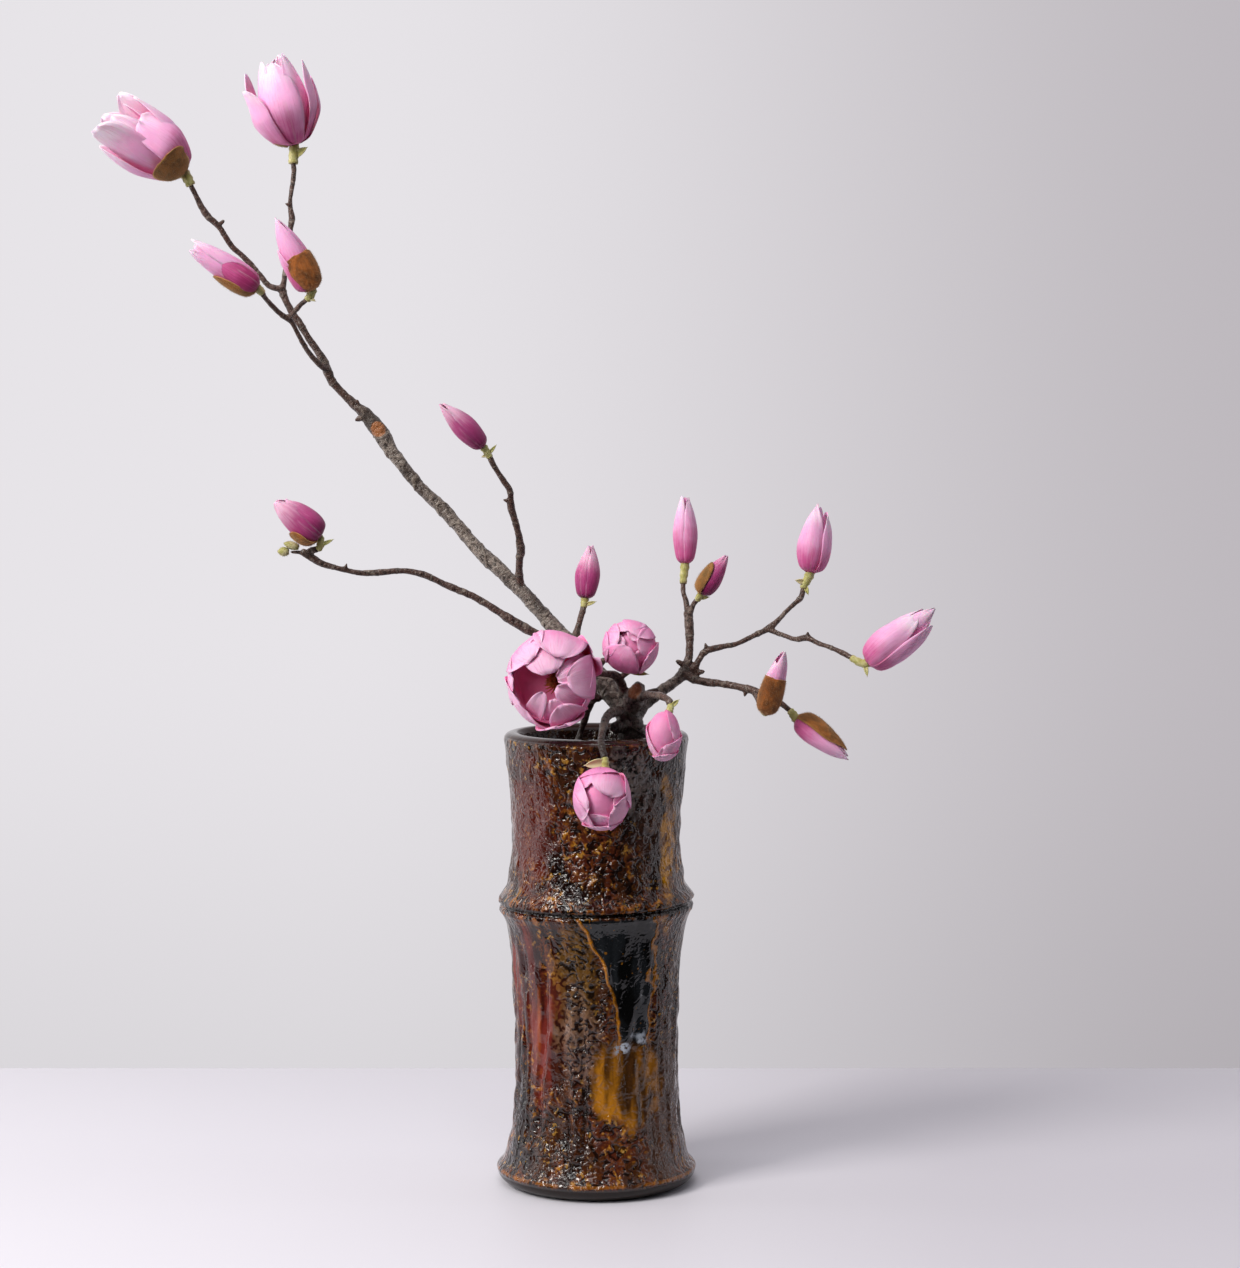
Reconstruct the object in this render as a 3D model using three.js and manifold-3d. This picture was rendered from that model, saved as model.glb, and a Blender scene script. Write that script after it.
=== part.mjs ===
// A magnolia arrangement in a tall ceramic vase, in the nageire manner of ikebana.
//
// Millimetres, +Z up. The origin is the centre of the vase's foot, on the table, and -Y is the front.
// The branch enters the mouth, leans on two sticks wedged across the neck, and stands in water.
// Every bloom is one body of overlapping tepals. A green stalk carries it, and a fuzzy bud scale
// still clings to some. Facing pieces keep a gap of GAP.

import * as THREE from 'three';
import * as BufferGeometryUtils from 'three/addons/utils/BufferGeometryUtils.js';
import Module from 'manifold-3d';

const wasm = await Module();
wasm.setup();

// ---- Driving dimensions -----------------------------------------------------------------------

const GAP = 0.3;

const VASE_HEIGHT = 325;
const VASE_SIDES = 28;
const WALL_INNER_RADIUS = 47;
const FLOOR_THICKNESS = 12;
const GROOVE_HEIGHT = 201.3;      // the bamboo node's groove
const GROOVE_SLANT = 1.6;         // how far it climbs towards +X, at the wall
const GROOVE_REACH = 16;

const WATER_LEVEL = 255;
const WATER_RADIUS = WALL_INNER_RADIUS - 0.45;

const STICK_RADIUS = 3;
const LOWER_STICK_HEIGHT = 284;
const LOWER_STICK_Y = -8.5;
const UPPER_STICK_X = 15.5;

const TEPAL_THICKNESS = 0.8;
const SCALE_THICKNESS = 1.3;
const SCALE_CLEARANCE = 0.5;
const SCALE_FOOT = 0.05;           // where a scale starts, as a share of the bloom's outline
const SCALE_DROP = 0.8;
const SCALE_COLUMNS = 4;
const LEAF_THICKNESS = 0.8;
const STALK_SWELL = 0.3;          // how much thinner a stalk is at the wood than under its bloom
const THICK_LIMB = 5;             // limbs stouter than this get more sides
const LIMB_SIDES = [5, 8];
const SPUR_SIDES = 4;

// ---- Finishes ---------------------------------------------------------------------------------

function finish(color, roughness, metalness = 0) {
  return new THREE.MeshStandardMaterial({ color, roughness, metalness });
}

const FINISHES = {
  glaze: () => finish(0x4a2818, 0.18),
  water: () => finish(0xbfd2d6, 0.05),
  stick: () => finish(0x8a7350, 0.8),
  bark: () => finish(0x7a726a, 0.85),
  darkBark: () => finish(0x4a3836, 0.85),
  paleTepal: () => finish(0xf0a0d0, 0.55),
  deepTepal: () => finish(0x8e2f5e, 0.5),
  stalk: () => finish(0xb5b060, 0.6),
  scale: () => finish(0x8a5028, 0.9),
  stamen: () => finish(0xb5522a, 0.7),
  leafBud: () => finish(0xb4b06a, 0.7),
};

// ---- Turning geometry into solids, and back ---------------------------------------------------

function solidOf(geometry) {
  const bare = geometry.clone();
  for (const name of Object.keys(bare.attributes)) {
    if (name !== 'position') bare.deleteAttribute(name);
  }
  const merged = BufferGeometryUtils.mergeVertices(bare, 1e-4);
  return new wasm.Manifold(new wasm.Mesh({
    numProp: 3,
    vertProperties: new Float32Array(merged.attributes.position.array),
    triVerts: new Uint32Array(merged.index.array),
  }));
}

function geometryOf(solid) {
  const mesh = solid.getMesh();
  const geometry = new THREE.BufferGeometry();
  geometry.setAttribute('position', new THREE.BufferAttribute(mesh.vertProperties, 3));
  geometry.setIndex(new THREE.BufferAttribute(mesh.triVerts, 1));
  return geometry;
}

// Joins solids, then keeps only the largest outer skin: scraps go and sealed hollows fill up.
function fuse(solids) {
  const joined = solids.reduce((all, next) => all.add(next));
  return joined.decompose().reduce((best, next) => (next.volume() > best.volume() ? next : best));
}

const group = new THREE.Group();

function skinOf(points, index) {
  const geometry = new THREE.BufferGeometry();
  const coordinates = points.flatMap((point) => point.toArray());
  geometry.setAttribute('position', new THREE.Float32BufferAttribute(coordinates, 3));
  geometry.setIndex(index);
  return geometry;
}

function addMesh(name, geometry, material) {
  const mesh = new THREE.Mesh(geometry, material);
  mesh.name = name;
  group.add(mesh);
  return mesh;
}

function vector([x, y, z]) {
  return new THREE.Vector3(x, y, z);
}

// ---- Closed skins -----------------------------------------------------------------------------

// A closed skin over a grid of points, with its two long edges and its two ends stitched.
// `front` and `back` are alike: rows of points, and both are cut along the same diagonals.
function bladeGeometry(front, back) {
  const rows = front.length;
  const columns = front[0].length;
  const points = [...front.flat(), ...back.flat()];
  const at = (side, row, column) => side * rows * columns + row * columns + column;
  const index = [];
  const quad = (a, b, c, d) => index.push(a, b, c, a, c, d);
  for (let row = 0; row < rows - 1; row += 1) {
    for (let column = 0; column < columns - 1; column += 1) {
      const cell = (side) => [at(side, row, column), at(side, row, column + 1),
        at(side, row + 1, column + 1), at(side, row + 1, column)];
      const [a, b, c, d] = cell(0);
      quad(a, b, c, d);
      const [e, f, g, h] = cell(1);
      index.push(e, g, f, e, h, g);
    }
    quad(at(0, row, 0), at(0, row + 1, 0), at(1, row + 1, 0), at(1, row, 0));
    const last = columns - 1;
    quad(at(0, row, last), at(1, row, last), at(1, row + 1, last), at(0, row + 1, last));
  }
  for (let column = 0; column < columns - 1; column += 1) {
    quad(at(0, 0, column), at(1, 0, column), at(1, 0, column + 1), at(0, 0, column + 1));
    const end = rows - 1;
    quad(at(0, end, column), at(0, end, column + 1), at(1, end, column + 1), at(1, end, column));
  }
  return skinOf(points, index);
}

// A tapered limb: rings of the given radius at each [x, y, z, radius], flat at both ends.
// `lead` and `trail` turn the first and last ring to face a neighbour.
function limbGeometry(path, { grow = 0, sides, lead, trail } = {}) {
  const stout = Math.max(...path.map((point) => point[3]));
  const count = sides ?? LIMB_SIDES[stout > THICK_LIMB ? 1 : 0];
  const centres = path.map(vector);
  const last = centres.length - 1;
  const points = [];
  let across = new THREE.Vector3(0.3, -0.9, 0.2);
  centres.forEach((centre, step) => {
    const before = centres[Math.max(step - 1, 0)];
    const after = centres[Math.min(step + 1, last)];
    let along = after.clone().sub(before).normalize();
    if (step === 0 && lead) along = lead.clone();
    if (step === last && trail) along = trail.clone();
    across = across.clone().addScaledVector(along, -across.dot(along)).normalize();
    const up = along.clone().cross(across);
    const push = step === 0 ? -grow : (step === last ? grow : 0);
    for (let side = 0; side < count; side += 1) {
      const angle = (side / count) * 2 * Math.PI;
      const radius = path[step][3] + grow;
      points.push(centre.clone()
        .addScaledVector(along, push)
        .addScaledVector(across, radius * Math.cos(angle))
        .addScaledVector(up, radius * Math.sin(angle)));
    }
  });
  const index = [];
  for (let step = 0; step < last; step += 1) {
    for (let side = 0; side < count; side += 1) {
      const next = (side + 1) % count;
      const [a, b] = [step * count + side, step * count + next];
      index.push(a, b, b + count, a, b + count, a + count);
    }
  }
  for (let side = 1; side < count - 1; side += 1) {
    index.push(0, side + 1, side);
    index.push(last * count, last * count + side, last * count + side + 1);
  }
  return skinOf(points, index);
}

// ---- Vase: thrown like a length of bamboo, with a rounded lip, one node and a flared base ring ----

function vaseGeometry() {
  const outside = [
    [0, 0], [58, 0], [69, 6], [71.4, 11], [68.6, 15.3], [65.6, 20], [63, 33.3],
    [60.5, 41.5], [58.6, 63], [57.9, 94], [59.3, 138], [61.7, 172.7], [66.2, 193],
    [69.1, 198.7], [68.1, GROOVE_HEIGHT], [69.5, 203.5], [64.8, 213.5], [61.6, 228.7],
    [60.1, 245], [61.1, 276.4], [65.3, 315.9], [65.6, 320.5], [63.2, 324],
  ];
  const inside = [
    [58.5, VASE_HEIGHT], [53.5, 323.6], [50, 319], [48, 309], [WALL_INNER_RADIUS, 296],
    [WALL_INNER_RADIUS, FLOOR_THICKNESS + 5], [WALL_INNER_RADIUS - 4, FLOOR_THICKNESS],
    [0, FLOOR_THICKNESS],
  ];
  const profile = [...outside, ...inside].map(([radius, height]) => new THREE.Vector2(radius, height));
  const geometry = new THREE.LatheGeometry(profile, VASE_SIDES);
  geometry.rotateX(Math.PI / 2);
  const position = geometry.attributes.position;
  for (let i = 0; i < position.count; i += 1) {
    const [x, y, z] = [position.getX(i), position.getY(i), position.getZ(i)];
    const outer = Math.hypot(x, y) > WALL_INNER_RADIUS + 2;
    const near = Math.max(0, 1 - Math.abs(z - GROOVE_HEIGHT) / GROOVE_REACH);
    const climb = outer ? GROOVE_SLANT * near * (x / WALL_INNER_RADIUS) : 0;
    position.setZ(i, z + climb);
  }
  return geometry;
}

// ---- The wood's limbs ---------------------------------------------------------------------------
// Each limb starts inside the one that it grows from.

const MAIN_LIMBS = {
  trunk: [[33, 6, 95, 7.5], [33, 5, 190, 8.5], [28, 2, 285, 9], [24, -4, 331, 8.9], [18.5, -3, 342, 8.4],
    [11.5, -1, 351.5, 7.8], [4, 1, 361, 7.5], [-4.5, 3, 370.5, 7.1], [-15, 6, 382.5, 6.8],
    [-28, 10, 396, 6.1], [-36.5, 12, 406, 5.5], [-47.5, 15, 418, 5.2], [-58.5, 17, 429, 5.2],
    [-70.5, 19, 440.5, 5], [-83.5, 21, 452.5, 5], [-98, 24, 468.5, 4.7], [-108.5, 26, 481, 4.7],
    [-118, 27, 490, 4.5], [-127, 29, 498.5, 4.3], [-134, 30, 507, 4.5], [-141, 30, 515.5, 4.7],
    [-147.5, 31, 524, 5.2], [-152, 31, 531.5, 5.9], [-156, 31, 538.5, 5.7], [-162, 31, 545.5, 5.2],
    [-166, 30, 551.5, 4.3], [-172.5, 29, 556.5, 3.5], [-178, 28, 562, 3.1], [-184.5, 27, 568.5, 3.1],
    [-190, 26, 575.5, 3.2], [-193.5, 26, 584, 3.4], [-198, 28, 593, 2.9], [-206, 30, 604.5, 2.7],
    [-213, 32, 616, 2.7], [-219, 33, 624.5, 2.7], [-224, 34, 635, 2.9], [-226, 34, 641.5, 3.2]],
  knuckle: [[18.5, -8, 336.5, 6.4], [25, -12, 346.5, 7.4], [28.5, -15, 353, 7.1], [30.5, -16, 358, 5],
    [32, -16, 361, 3.2]],
  knuckleSpur: [[31, -10, 345.5, 3.5], [37, -8, 352.5, 2.8], [44.5, -6, 355, 1.4]],
  sawnStub: [[24, -6, 332, 6], [15.5, -15, 329.5, 4.4], [13, -18, 328.5, 4.2]],
  toA: [[-224.5, 34, 639.5, 2.9], [-234, 33, 642, 2.3], [-240, 32, 648.5, 2.1], [-251.5, 28, 662, 2.1],
    [-260, 25, 670, 2.3], [-268.5, 21, 683.5, 2.1], [-278, 17, 693.5, 2.3], [-287, 12, 712.5, 2.1]],
  toB: [[-225.5, 34, 638, 2.5], [-224, 36, 646.5, 2.2], [-223, 38, 655.5, 1.9], [-221.5, 41, 668.5, 1.9],
    [-220, 44, 683.5, 2], [-219, 45, 691.5, 2.3], [-220.5, 47, 703, 1.8], [-218, 50, 722.5, 1.8],
    [-218.5, 51, 731, 1.8]],
  forkToCD: [[-192, 25, 582, 2.5], [-196.5, 19, 585, 2], [-203, 13, 592.5, 1.8], [-208, 7, 601, 1.8],
    [-214, 1, 613.5, 1.8], [-217.5, -1, 619, 2.3]],
  toC: [[-216, 0, 616, 1.9], [-224.5, -6, 623, 1.8], [-231.5, -12, 631, 1.8], [-234, -15, 635.5, 1.8]],
  toD: [[-218, -1, 619, 1.9], [-214.5, -4, 620, 1.8], [-209, -8, 626, 1.8], [-202.5, -11, 631, 1.8]],
  toE: [[-54, 16, 425, 3.6], [-55, 13, 434.5, 2.9], [-54.5, 6, 447, 2.5], [-53.5, 2, 456, 3],
    [-56.5, -4, 472, 2.3], [-60, -8, 484.5, 2.6], [-60.5, -12, 496, 2.1], [-64.5, -14, 503, 2.3],
    [-71, -18, 513, 1.9], [-74.5, -20, 520.5, 1.9]],
  toG: [[-21.5, 8, 389.5, 4.6], [-16, 10, 388.5, 3.6], [-14, 12, 395.5, 2.5], [-11.5, 14, 404, 2.3],
    [-9, 15, 413, 2.1]],
  rightFork: [[22.5, -4, 330.5, 7.8], [32.5, 2, 344, 5.4], [40, 5, 349, 4.4], [50, 6, 355.5, 4.3],
    [59, 6, 362, 4.3], [65, 7, 369.5, 4.3]],
  riser: [[62.5, 6, 364.5, 3.9], [65, 8, 372.5, 3.2], [66.5, 10, 378.5, 2.9], [67, 13, 388.5, 2.9],
    [66.5, 16, 400, 3.2], [66, 18, 409, 2.9]],
  toH: [[66.5, 17, 404.5, 2.3], [64.5, 20, 416, 1.8], [62.5, 22, 423, 1.8], [62.5, 24, 429.5, 1.8]],
  toI: [[66, 17, 405.5, 2.2], [69.5, 14, 414.5, 1.8], [72.5, 11, 418.5, 1.8]],
  toJ: [[62, 6, 366, 3.2], [70, 7, 369.5, 2.9], [73.5, 8, 375, 2.5], [78.5, 9, 381.5, 2.9],
    [90, 10, 384.5, 2.3], [98.5, 11, 386, 2.1], [107, 12, 389.5, 2.1], [118.5, 14, 395, 2.3],
    [125, 15, 398.5, 2.6], [131, 16, 404, 2], [139.5, 18, 412.5, 1.8], [147, 19, 419.5, 2.2],
    [148.5, 20, 426, 1.8]],
  toK: [[123, 15, 397, 2.2], [128, 13, 395, 2], [133.5, 9, 393, 1.8], [142, 3, 390.5, 1.8],
    [150, -3, 392, 2.1], [157.5, -8, 388.5, 1.8], [167, -14, 385.5, 1.8], [175, -18, 382, 1.8],
    [180.5, -21, 379, 1.8]],
  toM: [[61.5, 5, 366, 3.6], [69, 4, 362, 3.2], [79, 1, 360, 2.9], [89.5, -2, 359, 2.7],
    [99.5, -5, 357.5, 2.5], [110.5, -8, 355, 2.6], [120, -11, 351, 2.1], [131, -14, 346, 1.9],
    [137.5, -16, 341, 1.8]],
  toL: [[112, -8, 355, 2], [115, -14, 348, 1.8], [117.5, -21, 343, 1.6]],
  toQ: [[26, -14, 350, 5], [32, -22, 352, 3.4], [37.5, -32, 354, 2.9], [45.5, -46, 354.5, 2.8],
    [50.5, -56, 352.5, 2.4], [52, -61, 349, 2.1]],
  toO: [[20, -10, 351, 3.9], [18.5, -14, 359.5, 3.2], [15, -18, 365.5, 3]],
  stubO: [[16, -17, 364, 2.4], [19, -17.5, 366, 2.1], [21.5, -17.5, 368.3, 2.1]],
  toN: [[18.5, -12, 357, 2.8], [15, -18, 365.5, 3], [6.5, -28, 368.5, 2.5], [-4, -38, 369, 2.3],
    [-13.5, -44, 367.5, 2.1], [-19, -47, 366.5, 2.1]],
  toP: [[23.5, -9, 339.5, 4.6], [18.5, -16, 341, 3.7], [12, -30, 341.5, 3.3], [7, -48, 338.5, 3],
    [5, -62, 331.5, 2.8], [4, -76, 325, 2.5], [5.5, -84, 319, 2.2], [6.5, -87, 315.5, 2.1]],
};

const LEFT_LIMBS = {
  leg: [[-24, -8, 100, 3], [-22, -11, 210, 3], [-17, -14, 300, 2.6], [-11, -14, 325, 2.3],
    [-8.5, -15, 333, 2.8], [-6.5, -16, 341, 3.2], [-3, -17, 350.5, 3.5], [-4, -17, 361.5, 3.2],
    [-9, -15, 372, 2.8], [-22, -13, 383.5, 2.8], [-34, -12, 392, 2.8], [-44.5, -12, 396.5, 2.8],
    [-58.5, -13, 404.5, 3.3], [-73, -14, 414, 2.8], [-87.5, -15, 422.5, 2.6], [-107, -16, 431, 2.5],
    [-121, -18, 437.5, 2.5], [-136, -20, 440.5, 2.3], [-161.5, -24, 439, 2.1], [-176, -27, 441.5, 2.1],
    [-192, -29, 446, 2.3], [-200.5, -31, 451.5, 2.8], [-206, -32, 454.5, 2.4]],
  toF: [[-203.5, -31, 452, 2.1], [-199.5, -32, 455, 2.3], [-194, -33, 456.5, 2.1]],
};

// Short blunt spurs and dormant buds: [x, y, z], the way that each points, length, root radius.
const MAIN_SPURS = [
  [[-151, 30, 522], [1, -0.2, -0.3], 8, 2.6],
  [[-170, 29, 554], [-0.2, -0.5, 1], 8, 1.8],
  [[-178, 28, 563], [-1, -0.4, 0.5], 7, 1.6],
  [[-166, 30, 549], [-1, -0.3, -0.4], 8, 2],
  [[-219.5, 45, 700], [-1, -0.3, 0.4], 5, 1.4],
  [[-268, 20, 685], [0.8, -0.3, 0.6], 5, 1.4],
  [[-55, -3, 470], [-0.9, -0.2, 0.7], 6, 1.5],
  [[-61, -10, 489], [-1, -0.3, 0.3], 5, 1.4],
  [[62, 6, 372], [-1, -0.2, 0.6], 6, 2],
  [[71, 7, 366], [1, -0.3, 0.2], 7, 2.2],
  [[79, 9, 382], [-0.2, -0.2, 1], 6, 1.6],
  [[107, -7, 356], [-0.3, -0.2, -1], 6, 1.6],
  [[150, -3, 391], [0.1, -0.3, 1], 6, 1.4],
  [[0, 2, 371], [0.9, -0.2, 0.8], 9, 3.2],
];

const LEFT_SPURS = [
  [[-58, -13, 404], [-0.4, -0.4, 1], 6, 1.7],
  [[-176, -27, 441], [0.3, -0.3, 1], 6, 1.5],
  [[-206, -32, 454], [-1, -0.1, 0.05], 8, 1.5],
  [[-3, -17, 351], [1, 0.3, -0.2], 8, 3.4],
];

function spurGeometry([root, way, length, radius], grow) {
  const start = vector(root);
  const heading = vector(way).normalize();
  const stations = [[0, radius], [0.6, radius * 0.8], [1, radius * 0.45]];
  const path = stations.map(([share, girth]) => [
    ...start.clone().addScaledVector(heading, share * length).toArray(), girth]);
  return limbGeometry(path, { grow, sides: SPUR_SIDES });
}

function woodSolid(limbs, spurs, grow = 0) {
  const tubes = Object.values(limbs).map((path) => limbGeometry(path, { grow }));
  const buds = spurs.map((spur) => spurGeometry(spur, grow));
  return fuse([...tubes, ...buds].map(solidOf));
}

// ---- Blooms -------------------------------------------------------------------------------------
// In a bloom's own frame +Z runs from its stalk to its tip, and +X is the side that faces the front,
// or the top of a bloom that itself faces the front. Every tepal follows an outline turned about +Z,
// so tepals of one whorl overlap like roof tiles and never cross those of the next.

const DEGREE = Math.PI / 180;
const WIDEST = 0.5;               // how far up a tepal starts to narrow towards its tip
const FOOT_SHARE = 0.85;          // its breadth at the foot, against its full breadth
const TIP_EXCESS = 0.02;          // leaves the tip blunt
const RECEPTACLE_HEIGHT = 1.6;
const INNER_BUD_SIDES = 5;

function outlineOf(points) {
  return new THREE.SplineCurve(points.map(([radius, height]) => new THREE.Vector2(radius, height)));
}

const OUTLINES = {
  bud: outlineOf([[0.4, 0], [0.86, 0.1], [1, 0.3], [0.95, 0.55], [0.7, 0.8], [0.26, 1]]),
  goblet: outlineOf([[0.2, 0], [0.7, 0.1], [0.97, 0.34], [1, 0.56], [0.86, 0.8], [0.62, 1]]),
  cup: outlineOf([[0.2, 0], [0.8, 0.08], [1.02, 0.32], [1.04, 0.6], [0.86, 0.86], [0.55, 1]]),
  rose: outlineOf([[0.16, 0], [0.62, 0.04], [0.94, 0.3], [1, 0.6], [0.88, 0.86], [0.66, 1]]),
};

function spreadAt(u, spread) {
  if (u < WIDEST) return spread * (FOOT_SHARE + (1 - FOOT_SHARE) * (u / WIDEST));
  return spread * Math.sqrt(1 - ((u - WIDEST) / (1 - WIDEST + TIP_EXCESS)) ** 2);
}

// One tepal. `lift` tilts it so that its trailing edge rides over its neighbour.
function tepalSolid(spec, turn, grow = 0) {
  const { outline, radius, height, spread, lift, raise = 0 } = spec;
  const { steps = 4, columns = 4, thickness = TEPAL_THICKNESS } = spec;
  const grid = Array.from({ length: steps + 1 }, (_, step) => {
    const u = step / steps;
    const at = outline.getPoint(u);
    const slope = outline.getTangent(u);
    const run = new THREE.Vector2(slope.x * radius, slope.y * height).normalize();
    const half = spreadAt(u, spread * DEGREE) + grow / radius;
    const tilt = lift * Math.min(1, u * 3, at.x * 1.5);
    return Array.from({ length: columns }, (_, column) => {
      const v = (2 * column) / (columns - 1) - 1;
      const [cos, sin] = [Math.cos(v * half), Math.sin(v * half)];
      const normal = new THREE.Vector3(run.y * cos, run.y * sin, -run.x);
      const reach = at.x * radius + tilt * v;
      const rise = raise + at.y * height + (u === 1 ? grow : 0);
      const point = new THREE.Vector3(reach * cos, reach * sin, rise);
      return { point, normal };
    });
  });
  const skin = (offset) => grid.map((row) => row.map(({ point, normal }) => (
    point.clone().addScaledVector(normal, offset))));
  return solidOf(bladeGeometry(skin(grow), skin(-thickness - grow)).rotateZ(turn * DEGREE));
}

// How far a tepal's edges tilt, so that two neighbours of one whorl stay clear of each other.
function liftFor(radius) {
  return 0.045 * radius + 0.6;
}

// The widest radius that fits inside a whorl of the given radius.
function insideOf(radius) {
  return radius * 0.92 - liftFor(radius) - TEPAL_THICKNESS - 0.2;
}

// A whorl: like tepals round the axis, each a little shorter than the one before it.
function whorl(ring, grow) {
  return Array.from({ length: ring.count }, (_, i) => {
    const height = ring.height * (1 - ring.fade * (i / ring.count));
    const turn = ring.start + (i * 360) / ring.count;
    return tepalSolid({ lift: liftFor(ring.radius), ...ring, height }, turn, grow);
  });
}

// The heart of a bloom, turned from [radius, height] points: its tepals' roots are sunk in it.
function heartSolid(points, grow, sides = 6) {
  const rise = points.map(([radius, height]) => new THREE.Vector2(radius + grow, height));
  rise[0].y -= grow;
  rise.at(-1).y += grow;
  const profile = [new THREE.Vector2(0, rise[0].y), ...rise, new THREE.Vector2(0, rise.at(-1).y)];
  return solidOf(new THREE.LatheGeometry(profile, sides).rotateX(Math.PI / 2));
}

// A closed inner bud that fits inside a whorl.
function innerBud(foot, radius, height, grow) {
  const points = [
    [foot, 0], [foot, RECEPTACLE_HEIGHT], [radius * 0.85, height * 0.2], [radius, height * 0.42],
    [radius * 0.7, height * 0.75], [radius * 0.12, height],
  ];
  return heartSolid(points, grow, INNER_BUD_SIDES);
}

function budParts({ half, height, start }, grow) {
  const radius = half - liftFor(half);
  const outer = { count: 3, start, fade: 0.1, outline: OUTLINES.bud, radius, height, spread: 70 };
  return [...whorl(outer, grow), innerBud(half * 0.34, insideOf(radius) * 0.94, height * 0.86, grow)];
}

function gobletParts({ half, height, start }, grow) {
  const radius = half - liftFor(half);
  const outer = { count: 3, start, fade: 0.1, outline: OUTLINES.goblet, radius, height, spread: 66 };
  const inner = {
    ...outer, start: start + 60, radius: insideOf(radius) - liftFor(half),
    raise: 0.8, height: height * 0.94, columns: 3,
  };
  return [...whorl(outer, grow), ...whorl(inner, grow),
    innerBud(half * 0.24, insideOf(inner.radius) * 0.84, height * 0.8, grow)];
}

function cupParts({ half, height, start }, grow) {
  const radius = half - liftFor(half);
  const outer = { count: 4, start, fade: 0.08, outline: OUTLINES.cup, radius, height, spread: 56 };
  const inner = {
    ...outer, count: 3, start: start + 45, radius: half * 0.68,
    raise: 1.2, height: height * 0.86, spread: 66,
  };
  return [...whorl(outer, grow), ...whorl(inner, grow), heartSolid([[4.4, 0], [5.2, 3.4], [4, 6]], grow)];
}

function roseParts({ half, height, start }, grow) {
  const radius = half - liftFor(half);
  const outer = { count: 5, start, fade: 0.12, outline: OUTLINES.rose, radius, height, spread: 46 };
  const middle = {
    ...outer, count: 4, start: start + 30, radius: half * 0.7,
    raise: 1.6, height: height * 0.9, spread: 54,
  };
  const inner = {
    ...outer, count: 3, start: start + 10, radius: half * 0.42,
    raise: 3.2, height: height * 0.7, spread: 66, columns: 3,
  };
  return [...whorl(outer, grow), ...whorl(middle, grow), ...whorl(inner, grow),
    heartSolid([[5.2, 0], [6, 2], [5.6, 5.6]], grow, 7)];
}

const KINDS = { bud: budParts, goblet: gobletParts, cup: cupParts, rose: roseParts };

// Each bloom: the limb that bears it, the radius of its stalk, its foot and tip, half-width and turn.
const BLOOMS = {
  a: {
    kind: 'goblet', limb: 'toA', start: 20, stalk: 4.1,
    foot: [-292.4, 12, 721.5], tip: [-337.7, -6, 761], half: 24,
  },
  b: {
    kind: 'goblet', limb: 'toB', start: 0, stalk: 3.9,
    foot: [-217.9, 51, 744], tip: [-232.4, 44, 806.5], half: 25,
  },
  c: {
    kind: 'bud', limb: 'toC', start: 40, stalk: 3.4,
    foot: [-237.2, -17, 638.6], tip: [-281, -27, 667.3], half: 10.6,
  },
  d: {
    kind: 'bud', limb: 'toD', start: 10, stalk: 3.5,
    foot: [-199.1, -13, 638.1], tip: [-223, -21, 686.3], half: 11.6,
  },
  e: {
    kind: 'bud', limb: 'toE', start: 70, stalk: 2.9,
    foot: [-79.4, -22, 528.2], tip: [-108.4, -34, 558.2], half: 9.2,
  },
  f: {
    kind: 'bud', limb: 'toF', start: 50, stalk: 3.1,
    foot: [-193.3, -34, 464.9], tip: [-222.2, -42, 490.9], half: 12,
  },
  g: {
    kind: 'bud', limb: 'toG', start: 100, stalk: 3.1,
    foot: [-8.1, 16, 419.2], tip: [-4.2, 20, 457], half: 9.2,
  },
  h: {
    kind: 'bud', limb: 'toH', start: 30, stalk: 3.4,
    foot: [63.8, 27, 443.7], tip: [63.8, 30, 491.8], half: 9.3,
  },
  i: {
    kind: 'bud', limb: 'toI', start: 80, stalk: 3.0,
    foot: [75.5, 8, 423.2], tip: [93, 0, 450.7], half: 8,
  },
  j: {
    kind: 'goblet', limb: 'toJ', start: 50, stalk: 3.7,
    foot: [153.4, 21, 436.8], tip: [159.8, 24, 486.2], half: 13,
  },
  k: {
    kind: 'goblet', limb: 'toK', start: 35, stalk: 3.3,
    foot: [191.6, -25, 375.8], tip: [235, -38, 414], half: 14.6,
  },
  l: {
    kind: 'bud', limb: 'toL', start: 120, stalk: 2.6,
    foot: [119.5, -31, 342], tip: [130.4, -50, 385], half: 8.2,
  },
  m: {
    kind: 'bud', limb: 'toM', start: 200, stalk: 3.6,
    foot: [142.2, -18, 335.1], tip: [178.4, -28, 308.2], half: 9.5,
  },
  n: {
    kind: 'rose', limb: 'toN', start: 20, stalk: 3.2, facing: true,
    foot: [-24.7, -51, 364], tip: [-32.3, -84, 369], half: 34,
  },
  o: {
    kind: 'cup', limb: 'stubO', start: 180, stalk: 3.0, facing: true,
    foot: [24.6, -21, 374.5], tip: [21.9, -45, 400], half: 20,
  },
  p: {
    kind: 'cup', limb: 'toP', start: 0, stalk: 3.2, facing: true,
    foot: [6.5, -88, 308.2], tip: [3.5, -112, 274.9], half: 21.5,
  },
  q: {
    kind: 'goblet', limb: 'toQ', start: 30, stalk: 2.8,
    foot: [50.9, -64, 345], tip: [43.1, -82, 312.3], half: 13,
  },
};

for (const bloom of Object.values(BLOOMS)) {
  const axis = vector(bloom.tip).sub(vector(bloom.foot));
  bloom.height = axis.length();
  bloom.axis = axis.normalize();
  const side = bloom.facing ? new THREE.Vector3(0, 0, 1) : new THREE.Vector3(0, -1, 0);
  const x = side.addScaledVector(bloom.axis, -side.dot(bloom.axis)).normalize();
  const y = bloom.axis.clone().cross(x);
  const basis = new THREE.Matrix4().makeBasis(x, y, bloom.axis);
  bloom.turn = new THREE.Quaternion().setFromRotationMatrix(basis);
}

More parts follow.
